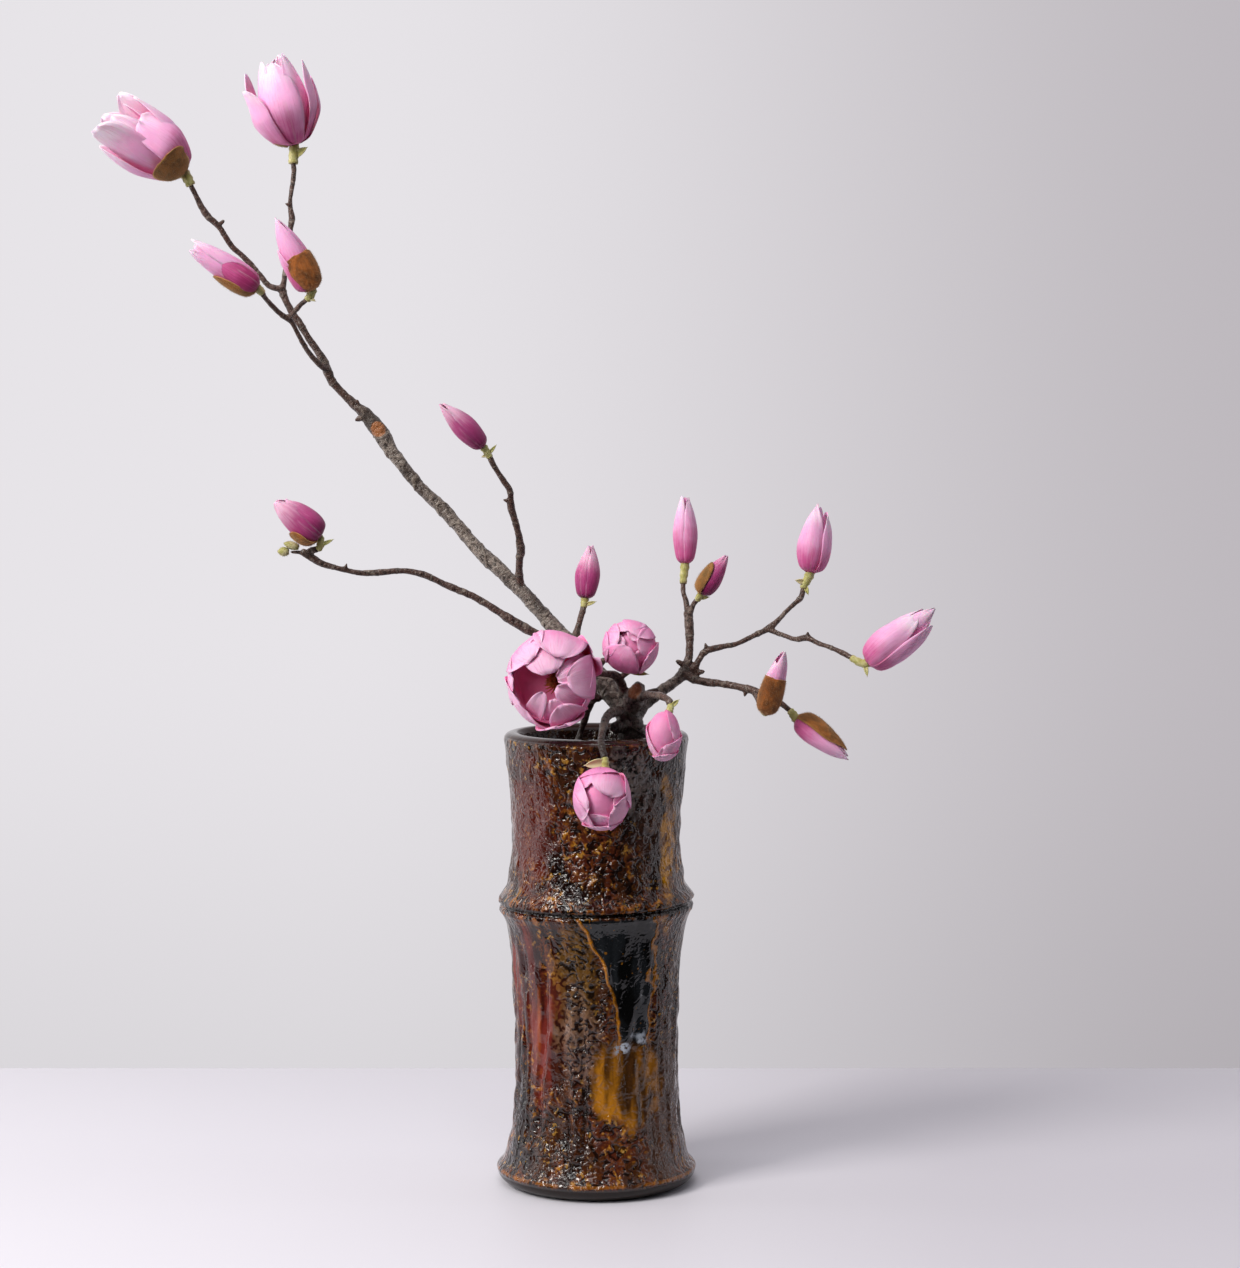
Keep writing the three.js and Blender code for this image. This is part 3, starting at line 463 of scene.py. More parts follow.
# Relief in millimetres: low lumps and drips everywhere, ridges and beads only where the glaze crawled.
pools = most(black_pool * 0.8, oxblood * 0.9, ochre_pool * 0.6)
relief = (curds * 1.5 + (ridges * 0.06 + wide_ridges * 0.14)) * (most(pools, most(lip, foot)) * -0.9 + 1.0)
even = 1.0 - most(lip, foot)
relief = streak * even * 0.1 + (swell * even * 2.0 + (shoreline * 0.5 + relief))
link_shader(shader, relief, Base_Color=colour, Coat_Weight=most(foot * 0.5, inner) * -0.6 + 1.0)
points, rows = vase_points()
add_piece("vase_body", (points, ring_faces(rows, VASE_SIDES), None, {}), glaze, "vase")


# ---- Wood ---------------------------------------------------------------------------------------
# One old magnolia branch bears sixteen blooms and a thinner one leans beside it. The trunk is smooth
# grey bark with lenticels. The twigs turn reddish brown and are ringed where each bud scale fell.
# Each limb is a line of (x, y, z, radius), and it starts inside the limb that it grows from.

MAIN_LIMBS = {
    "trunk": [(33, 6, 95, 7.5), (33, 5, 190, 8.5), (28, 2, 285, 9), (24, -4, 331, 8.9),
        (18.5, -3, 342, 8.4), (11.5, -1, 351.5, 7.8), (4, 1, 361, 7.5), (-4.5, 3, 370.5, 7.1),
        (-15, 6, 382.5, 6.8), (-28, 10, 396, 6.1), (-36.5, 12, 406, 5.5), (-47.5, 15, 418, 5.2),
        (-58.5, 17, 429, 5.2), (-70.5, 19, 440.5, 5), (-83.5, 21, 452.5, 5), (-98, 24, 468.5, 4.7),
        (-108.5, 26, 481, 4.7), (-118, 27, 490, 4.5), (-127, 29, 498.5, 4.3), (-134, 30, 507, 4.5),
        (-141, 30, 515.5, 4.7), (-147.5, 31, 524, 5.2), (-152, 31, 531.5, 5.9), (-156, 31, 538.5, 5.7),
        (-162, 31, 545.5, 5.2), (-166, 30, 551.5, 4.3), (-172.5, 29, 556.5, 3.5), (-178, 28, 562, 3.1),
        (-184.5, 27, 568.5, 3.1), (-190, 26, 575.5, 3.2), (-193.5, 26, 584, 3.4), (-198, 28, 593, 2.9),
        (-206, 30, 604.5, 2.7), (-213, 32, 616, 2.7), (-219, 33, 624.5, 2.7), (-224, 34, 635, 2.9),
        (-226, 34, 641.5, 3.2)],
    "knuckle": [(18.5, -8, 336.5, 6.4), (25, -12, 346.5, 7.4), (28.5, -15, 353, 7.1), (30.5, -16, 358, 5),
        (32, -16, 361, 3.2)],
    "knuckle_spur": [(31, -10, 345.5, 3.5), (37, -8, 352.5, 2.8), (44.5, -6, 355, 1.4)],
    "sawn_stub": [(24, -6, 332, 6), (15.5, -15, 329.5, 4.4), (13, -18, 328.5, 4.2)],
    "to_a": [(-224.5, 34, 639.5, 2.9), (-234, 33, 642, 2.3), (-240, 32, 648.5, 2.1),
        (-251.5, 28, 662, 2.1), (-260, 25, 670, 2.3), (-268.5, 21, 683.5, 2.1), (-278, 17, 693.5, 2.3),
        (-287, 12, 712.5, 2.1)],
    "to_b": [(-225.5, 34, 638, 2.5), (-224, 36, 646.5, 2.2), (-223, 38, 655.5, 1.9),
        (-221.5, 41, 668.5, 1.9), (-220, 44, 683.5, 2), (-219, 45, 691.5, 2.3), (-220.5, 47, 703, 1.8),
        (-218, 50, 722.5, 1.8), (-218.5, 51, 731, 1.8)],
    "fork_to_c_d": [(-192, 25, 582, 2.5), (-196.5, 19, 585, 2), (-203, 13, 592.5, 1.8),
        (-208, 7, 601, 1.8), (-214, 1, 613.5, 1.8), (-217.5, -1, 619, 2.3)],
    "to_c": [(-216, 0, 616, 1.9), (-224.5, -6, 623, 1.8), (-231.5, -12, 631, 1.8), (-234, -15, 635.5, 1.8)],
    "to_d": [(-218, -1, 619, 1.9), (-214.5, -4, 620, 1.8), (-209, -8, 626, 1.8), (-202.5, -11, 631, 1.8)],
    "to_e": [(-54, 16, 425, 3.6), (-55, 13, 434.5, 2.9), (-54.5, 6, 447, 2.5), (-53.5, 2, 456, 3),
        (-56.5, -4, 472, 2.3), (-60, -8, 484.5, 2.6), (-60.5, -12, 496, 2.1), (-64.5, -14, 503, 2.3),
        (-71, -18, 513, 1.9), (-74.5, -20, 520.5, 1.9)],
    "to_g": [(-21.5, 8, 389.5, 4.6), (-16, 10, 388.5, 3.6), (-14, 12, 395.5, 2.5), (-11.5, 14, 404, 2.3),
        (-9, 15, 413, 2.1)],
    "right_fork": [(22.5, -4, 330.5, 7.8), (32.5, 2, 344, 5.4), (40, 5, 349, 4.4), (50, 6, 355.5, 4.3),
        (59, 6, 362, 4.3), (65, 7, 369.5, 4.3)],
    "riser": [(62.5, 6, 364.5, 3.9), (65, 8, 372.5, 3.2), (66.5, 10, 378.5, 2.9), (67, 13, 388.5, 2.9),
        (66.5, 16, 400, 3.2), (66, 18, 409, 2.9)],
    "to_h": [(66.5, 17, 404.5, 2.3), (64.5, 20, 416, 1.8), (62.5, 22, 423, 1.8), (62.5, 24, 429.5, 1.8)],
    "to_i": [(66, 17, 405.5, 2.2), (69.5, 14, 414.5, 1.8), (72.5, 11, 418.5, 1.8)],
    "to_j": [(62, 6, 366, 3.2), (70, 7, 369.5, 2.9), (73.5, 8, 375, 2.5), (78.5, 9, 381.5, 2.9),
        (90, 10, 384.5, 2.3), (98.5, 11, 386, 2.1), (107, 12, 389.5, 2.1), (118.5, 14, 395, 2.3),
        (125, 15, 398.5, 2.6), (131, 16, 404, 2), (139.5, 18, 412.5, 1.8), (147, 19, 419.5, 2.2),
        (148.5, 20, 426, 1.8)],
    "to_k": [(123, 15, 397, 2.2), (128, 13, 395, 2), (133.5, 9, 393, 1.8), (142, 3, 390.5, 1.8),
        (150, -3, 392, 2.1), (157.5, -8, 388.5, 1.8), (167, -14, 385.5, 1.8), (175, -18, 382, 1.8),
        (180.5, -21, 379, 1.8)],
    "to_m": [(61.5, 5, 366, 3.6), (69, 4, 362, 3.2), (79, 1, 360, 2.9), (89.5, -2, 359, 2.7),
        (99.5, -5, 357.5, 2.5), (110.5, -8, 355, 2.6), (120, -11, 351, 2.1), (131, -14, 346, 1.9),
        (137.5, -16, 341, 1.8)],
    "to_l": [(112, -8, 355, 2), (115, -14, 348, 1.8), (117.5, -21, 343, 1.6)],
    "to_q": [(26, -14, 350, 5), (32, -22, 352, 3.4), (37.5, -32, 354, 2.9), (45.5, -46, 354.5, 2.8),
        (50.5, -56, 352.5, 2.4), (52, -61, 349, 2.1)],
    "to_o": [(20, -10, 351, 3.9), (18.5, -14, 359.5, 3.2), (15, -18, 365.5, 3)],
    "stub_o": [(16, -17, 364, 2.4), (19, -17.5, 366, 2.1), (21.5, -17.5, 368.3, 2.1)],
    "to_n": [(18.5, -12, 357, 2.8), (15, -18, 365.5, 3), (6.5, -28, 368.5, 2.5), (-4, -38, 369, 2.3),
        (-13.5, -44, 367.5, 2.1), (-19, -47, 366.5, 2.1)],
    "to_p": [(23.5, -9, 339.5, 4.6), (18.5, -16, 341, 3.7), (12, -30, 341.5, 3.3), (7, -48, 338.5, 3),
        (5, -62, 331.5, 2.8), (4, -76, 325, 2.5), (5.5, -84, 319, 2.2), (6.5, -87, 315.5, 2.1)],
}
LEFT_LIMBS = {
    "leg": [(-24, -8, 100, 3), (-22, -11, 210, 3), (-17, -14, 300, 2.6), (-11, -14, 325, 2.3),
        (-8.5, -15, 333, 2.8), (-6.5, -16, 341, 3.2), (-3, -17, 350.5, 3.5), (-4, -17, 361.5, 3.2),
        (-9, -15, 372, 2.8), (-22, -13, 383.5, 2.8), (-34, -12, 392, 2.8), (-44.5, -12, 396.5, 2.8),
        (-58.5, -13, 404.5, 3.3), (-73, -14, 414, 2.8), (-87.5, -15, 422.5, 2.6), (-107, -16, 431, 2.5),
        (-121, -18, 437.5, 2.5), (-136, -20, 440.5, 2.3), (-161.5, -24, 439, 2.1),
        (-176, -27, 441.5, 2.1), (-192, -29, 446, 2.3), (-200.5, -31, 451.5, 2.8), (-206, -32, 454.5, 2.4)],
    "to_f": [(-203.5, -31, 452, 2.1), (-199.5, -32, 455, 2.3), (-194, -33, 456.5, 2.1)],
}
MAIN_SPURS = [
    ((-151, 30, 522), (1, -0.2, -0.3), 8, 2.6),
    ((-170, 29, 554), (-0.2, -0.5, 1), 8, 1.8),
    ((-178, 28, 563), (-1, -0.4, 0.5), 7, 1.6),
    ((-166, 30, 549), (-1, -0.3, -0.4), 8, 2),
    ((-219.5, 45, 700), (-1, -0.3, 0.4), 5, 1.4),
    ((-268, 20, 685), (0.8, -0.3, 0.6), 5, 1.4),
    ((-55, -3, 470), (-0.9, -0.2, 0.7), 6, 1.5),
    ((-61, -10, 489), (-1, -0.3, 0.3), 5, 1.4),
    ((62, 6, 372), (-1, -0.2, 0.6), 6, 2),
    ((71, 7, 366), (1, -0.3, 0.2), 7, 2.2),
    ((79, 9, 382), (-0.2, -0.2, 1), 6, 1.6),
    ((107, -7, 356), (-0.3, -0.2, -1), 6, 1.6),
    ((150, -3, 391), (0.1, -0.3, 1), 6, 1.4),
    ((0, 2, 371), (0.9, -0.2, 0.8), 9, 3.2),
]
LEFT_SPURS = [
    ((-58, -13, 404), (-0.4, -0.4, 1), 6, 1.7),
    ((-176, -27, 441), (0.3, -0.3, 1), 6, 1.5),
    ((-206, -32, 454), (-1, -0.1, 0.05), 8, 1.5),
    ((-3, -17, 351), (1, 0.3, -0.2), 8, 3.4),
]
SCARS = [(-156.5, 25.5, 540), (27, -21.5, 356)]
WOOD_VOXEL = 0.8
LIMB_SIDES = 20
LIMB_STEP = 1.6
BARK_ROUGHNESS = 2.0
RING_GAP = 23.0
RING_DEPTH = 0.4


def new_tree(name, **sizes):
    """A geometry tree, its geometry, and a named input for each size."""
    tree = bpy.data.node_groups.new(name, "GeometryNodeTree")
    for side in ("INPUT", "OUTPUT"):
        tree.interface.new_socket("Geometry", in_out=side, socket_type="NodeSocketGeometry")
    for size, value in sizes.items():
        kind = "NodeSocketInt" if isinstance(value, int) else "NodeSocketFloat"
        socket = tree.interface.new_socket(size.replace("_", " "), in_out="INPUT", socket_type=kind)
        socket.default_value = value
    tree.nodes.new("NodeGroupOutput")
    given = [Field(socket) for socket in tree.nodes.new("NodeGroupInput").outputs]
    return tree, *given[:-1]


def give(tree, geometry, material=None):
    """Makes a geometry the tree's result, with its instances made real and in its material."""
    if material is not None:
        real = add_node(tree, "GeometryNodeRealizeInstances", {0: geometry})
        geometry = add_node(tree, "GeometryNodeSetMaterial", {0: real, "Material": material})
    tree.links.new(geometry.socket, tree.nodes["Group Output"].inputs[0])
    return tree


def store(geometry, mark, value):
    """The geometry with a value stored on its points."""
    return add_node(geometry.tree, "GeometryNodeStoreNamedAttribute", {
        "Geometry": geometry, "Name": mark, "Value": value}, domain="POINT")


def recall(tree, mark):
    """A value stored on a geometry's points."""
    return add_node(tree, "GeometryNodeInputNamedAttribute", {"Name": mark})


def line_object(name, lines):
    """A curve object with one line for each list of (x, y, z, radius) in millimetres."""
    curve = bpy.data.curves.new(name, "CURVE")
    curve.dimensions = "3D"
    for line in lines:
        spline = curve.splines.new("POLY")
        spline.points.add(len(line) - 1)
        for point, (x, y, z, radius) in zip(spline.points, line):
            point.co = (x * MM, y * MM, z * MM, 1)
            point.radius = radius * MM
    return linked(name, curve)


def tube_tree(name):
    """Turns each line into a closed round tube that follows its radii."""
    tree, lines, sides, step = new_tree(name, Sides=LIMB_SIDES, Step=LIMB_STEP * MM)
    smooth = add_node(tree, "GeometryNodeCurveSplineType", {0: lines}, spline_type="CATMULL_ROM")
    even = add_node(tree, "GeometryNodeResampleCurve", {0: smooth, "Length": step}, mode="LENGTH")
    radius = add_node(tree, "GeometryNodeInputRadius")
    even = store(even, "along", add_node(tree, "GeometryNodeSplineParameter", out="Length"))
    ring = add_node(tree, "GeometryNodeCurvePrimitiveCircle", {"Resolution": sides, "Radius": 1.0})
    return give(tree, add_node(tree, "GeometryNodeCurveToMesh", {
        "Curve": store(even, "girth", radius), "Profile Curve": ring, "Scale": radius,
        "Fill Caps": True}))


def bark_tree(name, tubes, material):
    """Gives the fused wood its lumps, its ring scars, and the marks that its bark reads."""
    tree, geometry, roughness, ring_gap = new_tree(
        name, Roughness=BARK_ROUGHNESS * MM, Ring_Gap=RING_GAP * MM)
    source = add_node(tree, "GeometryNodeObjectInfo", {"Object": tubes}, out="Geometry")
    for mark in ("along", "girth"):
        geometry = store(geometry, mark, add_node(tree, "GeometryNodeSampleNearestSurface", {
            "Mesh": source, "Value": recall(tree, mark)}))
    lumps = add_node(tree, "ShaderNodeTexNoise", {"Scale": 150.0, "Detail": 2.5, "Roughness": 0.6})
    swells = add_node(tree, "ShaderNodeTexNoise", {"Scale": 38.0, "Detail": 1.0})
    beat = recall(tree, "along") / ring_gap + swells * 2.2
    ring = mask(reckon("PINGPONG", beat, 0.5), 0.4, 0.5)
    height = ring * (RING_DEPTH * MM) + ((lumps - 0.5) + (swells - 0.5)) * roughness
    height = height * reckon("MINIMUM", 1.6, recall(tree, "girth") * 170.0 + 0.35)
    normal = add_node(tree, "GeometryNodeInputNormal")
    push = add_node(tree, "ShaderNodeVectorMath", {0: normal, "Scale": height}, operation="SCALE")
    moved = add_node(tree, "GeometryNodeSetPosition", {"Geometry": geometry, "Offset": push})
    return give(tree, add_node(tree, "GeometryNodeSetShadeSmooth", {0: store(moved, "ring", ring)}),
                material)


def spur_line(root, way, length, radius):
    """A short tapered line of (x, y, z, radius) from a root."""
    heading = Vector(way).normalized()
    return [(*(Vector(root) + heading * length * share), radius * girth)
            for share, girth in ((0, 1), (0.5, 0.95), (0.85, 0.75), (1, 0.35))]


def add_wood(name, limbs, spurs, material, node):
    """Fuses the limbs and spurs of one branch into one barked piece."""
    lines = line_object(name + "_lines", [*limbs.values(), *(spur_line(*spur) for spur in spurs)])
    tubes = linked(name + "_tubes", grown_mesh(lines, tube_tree(name + " tubes")))
    block = linked(name + "_block", tubes.data.copy())
    remesh = block.modifiers.new("fuse", "REMESH")
    remesh.mode = "VOXEL"
    remesh.voxel_size = WOOD_VOXEL * MM
    soften = block.modifiers.new("soften", "SMOOTH")
    soften.factor = 0.5
    soften.iterations = 2
    mesh = grown_mesh(block, bark_tree(name + " bark", tubes, material))
    for helper in (lines, tubes, block):
        bpy.data.objects.remove(helper)
    mesh.name = name
    hand_over(linked(name, mesh), node)


def read_mark(tree, mark):
    """A value stored on the points of the piece that a material is on."""
    return add_node(tree, "ShaderNodeAttribute", out="Fac", attribute_name=mark)


def new_bark(name, old, pale, young, dark):
    """Magnolia bark: satin, grey where it is old and stout, reddish where it is young and thin."""
    material, shader, place = new_material(name, Specular_IOR_Level=0.35, Sheen_Weight=0.1)
    girth, ring, along = (read_mark(place.tree, mark) for mark in ("girth", "ring", "along"))
    mottle = grain(place, 120, 5, 0.7)
    speck = grain(place, 420, 2, 0.6)
    wrinkle = mask(reckon("SINE", mottle * 14.0 + along * 1300.0), 0.2, 1.0)
    colour = blend(mask(mottle, 0.4, 0.6), old, pale)
    colour = blend(mask(grain(place, 30, 3, 0.6), 0.46, 0.6, 0.85), colour, dark)
    colour = blend(mask(mottle * 0.0008 + girth, 0.0056, 0.003) * 0.85, colour, young)
    colour = blend(mask(speck, 0.48, 0.36, 0.9), colour, dark)
    colour = blend(mask(speck, 0.6, 0.7, 0.4), colour, "#B5AA9E")
    colour = blend(ring * 0.3, colour, "#A89C8E")
    colour = blend(mask(ring, 0.02, 0.3) * mask(ring, 0.6, 0.3, 0.7), colour, dark)
    for scar in SCARS:
        reach = add_node(place.tree, "ShaderNodeVectorMath", {0: place, 1: [c * MM for c in scar]},
                         out="Value", operation="DISTANCE")
        colour = blend(mask(mottle * 0.004 + reach, 0.0085, 0.0068, 0.85), colour, "#A5683C")
    # Painted shade: from 352 mm down, past the vase's rim and into it, the wood is painted near black for the
    # shade inside the vase.
    colour = blend(mask(split(place)[2], 0.352, 0.318, 0.85), colour, "#1C1512")
    height = wrinkle * -0.14 + (speck * 0.6 + mottle)
    link_shader(shader, height, 1.0, 0.0014, Base_Color=colour, Roughness=mask(mottle, 0.0, 1.4))
    return material


grey_bark = new_bark("old magnolia bark", "#70665F", "#978B81", "#543A31", "#342B26")
dark_bark = new_bark("dark young bark", "#54473F", "#75685F", "#553E37", "#2C2320")
add_wood("main_wood", MAIN_LIMBS, MAIN_SPURS, grey_bark, "main_branch")
add_wood("left_wood", LEFT_LIMBS, LEFT_SPURS, dark_bark, "left_branch")

# ---- Holder and water ---------------------------------------------------------------------------
# Two peeled sticks are wedged across the neck, one on the other, and the stems lean on them. The vase
# is filled with clean water to below the sticks.

stick_wood, shader, place = new_material("peeled willow stick", Roughness=0.7)
fibres = grain(place, 300, 3, 0.6)
link_shader(shader, fibres, 0.5, 0.0004, Base_Color=blend(fibres, "#6A5236", "#A08458"))
clear_water, shader, place = new_material(
    "still water", Roughness=0.02, IOR=1.333, Transmission_Weight=1.0)
link_shader(shader, Base_Color=blend(grain(place, 30, 2, 0.5), "#C9D6D2", "#D9E4E2"))
for node, material in (("lower_stick", stick_wood), ("upper_stick", stick_wood), ("water", clear_water)):
    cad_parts[node].data.materials.clear()
    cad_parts[node].data.materials.append(material)

# ---- Blooms -------------------------------------------------------------------------------------
# Each magnolia bloom is a spiral of thick waxy tepals on a small receptacle. A bud keeps them wrapped,
# a goblet lets the tips part, and the open bloom shows its throat. A tepal is nearly white at the tip
# and flushes through pink to purple at the foot, with faint veins running up it.

TEPAL_THICKNESS = 0.65
TEPAL_ROWS = 22
TEPAL_COLUMNS = 15
FOOT_RADIUS = 1.2
GLOBE_BACK = 165
GLOBE_SHARE = 0.3
HEART_ROWS = 16
HEART_SIDES = 32
HEART_DEPTH = 0.55
HEART_CAP = 0.02
CUP_WALL = 0.05


def midline(half, height, belly, lean, tall, build):
    """A tepal's midline as (radius, height): belly is its greatest radius and lean its tip's, as shares.

    The build is how broad the bloom sits on its stalk, how broad a tenth up, and where it is widest.
    """
    foot, shoulder, widest = build
    return [(r * half, z * height * tall) for r, z in (
        (foot * min(belly, 1), 0), (shoulder * belly, 0.09), (belly, widest),
        ((0.6 * belly + 0.4 * lean) * 1.06, 0.72), (lean, 1))]


def line_at(points, shares):
    """Points on a smooth line through the given points, at shares of its length, and its direction."""
    line = smooth_line(points, 0.01 * np.ptp(np.array(points), axis=0).max())
    lengths = np.concatenate([[0], np.cumsum(np.linalg.norm(np.diff(line, axis=0), axis=1))])
    total = lengths[-1]

    def at(wanted):
        return np.stack([np.interp(wanted, lengths, line[:, i]) for i in range(2)], axis=1)

    wanted = np.asarray(shares) * total
    way = at(np.minimum(wanted + 0.5, total)) - at(np.maximum(wanted - 0.5, 0))
    return at(wanted), way / np.linalg.norm(way, axis=1)[:, None]


def closed_sheet(grid, thickness):
    """A closed skin round a grid of points: its front, its back a thickness inwards, and its rim."""
    rows, columns = grid.shape[:2]
    normal = np.cross(np.gradient(grid, axis=1), np.gradient(grid, axis=0))
    normal /= np.maximum(np.linalg.norm(normal, axis=2), 1e-9)[:, :, None]
    back = (grid - normal * thickness[:, :, None]).reshape(-1, 3)
    count = rows * columns
    faces = []
    for row in range(rows - 1):
        for column in range(columns - 1):
            a = row * columns + column
            faces.append((a, a + 1, a + columns + 1, a + columns))
            faces.append(tuple(count + i for i in (a + columns, a + columns + 1, a + 1, a)))
    edge = [*range(columns), *(r * columns + columns - 1 for r in range(1, rows)),
            *range(count - 2, count - columns - 1, -1), *(r * columns for r in range(rows - 2, 0, -1))]
    for here, there in zip(edge, edge[1:] + edge[:1]):
        faces.append((there, here, count + here, count + there))
    return np.vstack([grid.reshape(-1, 3), back]), faces


def sheet_grid(rows, columns):
    """Shares along a sheet from its root, down a column, and across it from edge to edge, in a row."""
    return np.linspace(0, 1, rows)[:, None], np.linspace(-1, 1, columns)[None, :]


def petal_skin(grid, u, v, along, thickness, tint):
    """A tepal's closed skin, thinner at its tip and edges, with its UV pairs and marks."""
    thick = thickness * (1 - 0.55 * np.abs(v) ** 6) * (1 - 0.4 * u ** 6)
    points, faces = closed_sheet(grid, thick)
    pair = np.stack(np.broadcast_arrays((v + 1) / 2, along), axis=2).reshape(-1, 2)
    marks = {"inside": np.repeat([0.0, 1.0], len(pair)), "tint": np.full(2 * len(pair), tint)}
    return points, faces, np.vstack([pair, pair]), marks


def spoon(u, foot, widest, blunt, point):
    """A tepal's breadth along it: from its foot to where it is widest, then round or pointed."""
    rise = foot + (1 - foot) * np.sin(np.minimum(u / widest, 1) * math.pi / 2)
    fall = np.maximum(1 - (np.maximum(u - widest, 0) / (1 - widest + 0.012)) ** blunt, 0) ** point
    return np.where(u < widest, rise, fall)


def tepal(outline, turn, spread, foot=0.92, widest=0.55, blunt=2.4, cup=1.15, wave=0.4, sway=0.0,
          dent=0.0, curl=0.0, full=0.5, point=0.5, tint=0.0, thickness=TEPAL_THICKNESS):
    """One tepal in a bloom's own frame, where +Z runs to the tip and a turn of 0 faces +X.

    The outline is its midline as (radius, height). It spreads by an angle each side, and bends round
    the axis. Wave ruffles its edges, sway leans the tip aside, curl bends it out and dent presses the
    middle in. Full keeps its breadth where the bloom narrows, and point sharpens its tip.
    """
    u, v = sheet_grid(TEPAL_ROWS, TEPAL_COLUMNS)
    place, way = line_at(outline, u[:, 0])
    radius = np.maximum(place[:, :1], FOOT_RADIUS)
    radius = radius ** (1 - full) * radius.max() ** full
    bend = radius / cup
    arc = np.radians(spread) * spoon(u, foot, widest, blunt, point) * radius * v
    level = np.zeros(TEPAL_ROWS)
    out = np.stack([way[:, 1], level, -way[:, 0]], axis=1)
    middle = np.stack([place[:, 0], level, place[:, 1]], axis=1)
    fade = np.minimum(1, u * 2.5)
    push = fade * wave * np.sin(v * 5 + u * 7 + turn) * np.abs(v)
    push = push - dent * fade * np.exp(-(v / 0.35) ** 2) * u
    push = push + curl * np.maximum(0, (u - 0.7) / 0.3) ** 2
    grid = middle[:, None, :] + out[:, None, :] * push[:, :, None]
    grid[:, :, 0] -= bend * (1 - np.cos(arc / bend))
    grid[:, :, 1] += bend * np.sin(arc / bend) + sway * u ** 2
    angle = math.radians(turn)
    spun = grid.copy()
    spun[:, :, 0] = grid[:, :, 0] * math.cos(angle) - grid[:, :, 1] * math.sin(angle)
    spun[:, :, 1] = grid[:, :, 0] * math.sin(angle) + grid[:, :, 1] * math.cos(angle)
    return petal_skin(spun, u, v, u, thickness, tint)


def globe_tepal(centre, size, root, tip, breadth, layer=1.0, flare=0.0, edge=0.035, foot=0.6,
                widest=0.62, blunt=2.6, point=0.55, wave=0.025, tint=0.0):
    """One tepal of a round bloom seen from its front, hugging a globe of the given half-sizes.

    Root is the clock angle it starts from at the back, and tip is where it ends on the front, across
    and up as shares of the globe. Breadth is its angle each side, layer its share of the globe's
    radius, flare how far its tip leaves the globe, and edge how far its sides do.
    """
    u, v = sheet_grid(TEPAL_ROWS, TEPAL_COLUMNS)
    turn, back = math.radians(root), math.radians(GLOBE_BACK)
    start = np.array([math.sin(back) * math.cos(turn), math.sin(back) * math.sin(turn), math.cos(back)])
    end = np.array([*tip, math.sqrt(max(0.0, 1 - tip[0] ** 2 - tip[1] ** 2))])
    end /= np.linalg.norm(end)
    facing = float(start @ end)
    sweep = math.acos(facing)
    line = (np.sin((1 - u) * sweep) * start + np.sin(u * sweep) * end) / math.sin(sweep)
    side = np.cross(end - start * facing, start)
    side /= np.linalg.norm(side)
    arc = (math.radians(breadth) * spoon(u, foot, widest, blunt, point) * v)[:, :, None]
    reach = layer * (1 + flare * u ** 2 + edge * np.abs(v) ** 3)
    reach = reach + wave * np.sin(v * 5 + u * 7 + root) * np.abs(v) * u
    grid = (line[:, None, :] * np.cos(arc) + side * np.sin(arc)) * reach[:, :, None]
    grid = np.stack([grid[:, :, 0], -grid[:, :, 2], grid[:, :, 1]], axis=2)
    along = np.maximum(u - GLOBE_SHARE, 0) / (1 - GLOBE_SHARE)
    return petal_skin(grid * np.array(size) + np.array(centre), u, v, along, TEPAL_THICKNESS, tint)


def globe_heart(centre, size, layer, mouth):
    """The closed skin under a round bloom's tepals, or a cup open to the front by the mouth's angle."""
    first, last = math.pi - HEART_CAP, max(math.radians(mouth), HEART_CAP)
    rows = [(angle, layer) for angle in np.linspace(first, last, HEART_ROWS)]
    if mouth:
        rows += [(angle, layer - CUP_WALL) for angle in np.linspace(last, first, HEART_ROWS)]
    points = []
    for angle, reach in rows:
        depth = -math.cos(angle) * (HEART_DEPTH if mouth and angle > math.pi / 2 else 1)
        for side in range(HEART_SIDES):
            turn = side / HEART_SIDES * 2 * math.pi
            across, up = math.sin(angle) * math.cos(turn), math.sin(angle) * math.sin(turn)
            points.append(np.array((across, depth, up)) * reach * np.array(size) + np.array(centre))
    count = len(points)
    uv = np.tile((0.3, 0.35 if mouth else 0.7), (count, 1))
    marks = {"inside": np.full(count, 1.0 if mouth else 0.2), "tint": np.zeros(count)}
    return np.array(points), ring_faces(len(rows), HEART_SIDES), uv, marks


def bloom_frame(name, side=(0, -1, 0)):
    """The turn, the place and the height that carry a bloom's own frame to its stalk."""
    foot, tip = (Vector(end) for end in BLOOMS[name][:2])
    axis = (tip - foot).normalized()
    side = Vector(side)
    x = (side - axis * side.dot(axis)).normalized()
    turn = np.array(Matrix((x, axis.cross(x), axis)).transposed())
    return turn, np.array(BLOOMS[name][0]), (tip - foot).length


def joined(parts):
    """Several skins as one."""
    points, faces, uv, marks = [], [], [], {}
    start = 0
    for part_points, part_faces, part_uv, part_marks in parts:
        points.append(part_points)
        faces += [tuple(start + i for i in face) for face in part_faces]
        uv.append(part_uv)
        for mark, values in part_marks.items():
            marks.setdefault(mark, []).append(values)
        start += len(part_points)
    return np.vstack(points), faces, np.vstack(uv), {m: np.concatenate(v) for m, v in marks.items()}


def placed(skin, name):
    """A skin carried from a bloom's own frame to its place."""
    turn, place, _ = bloom_frame(name)
    return (skin[0] @ turn.T + place, *skin[1:])


def surface_pair(tree):
    """The UV pair of a surface, and its shares across and along."""
    pair = add_node(tree, "ShaderNodeUVMap", uv_map="surface")
    return pair, *split(pair)[:2]


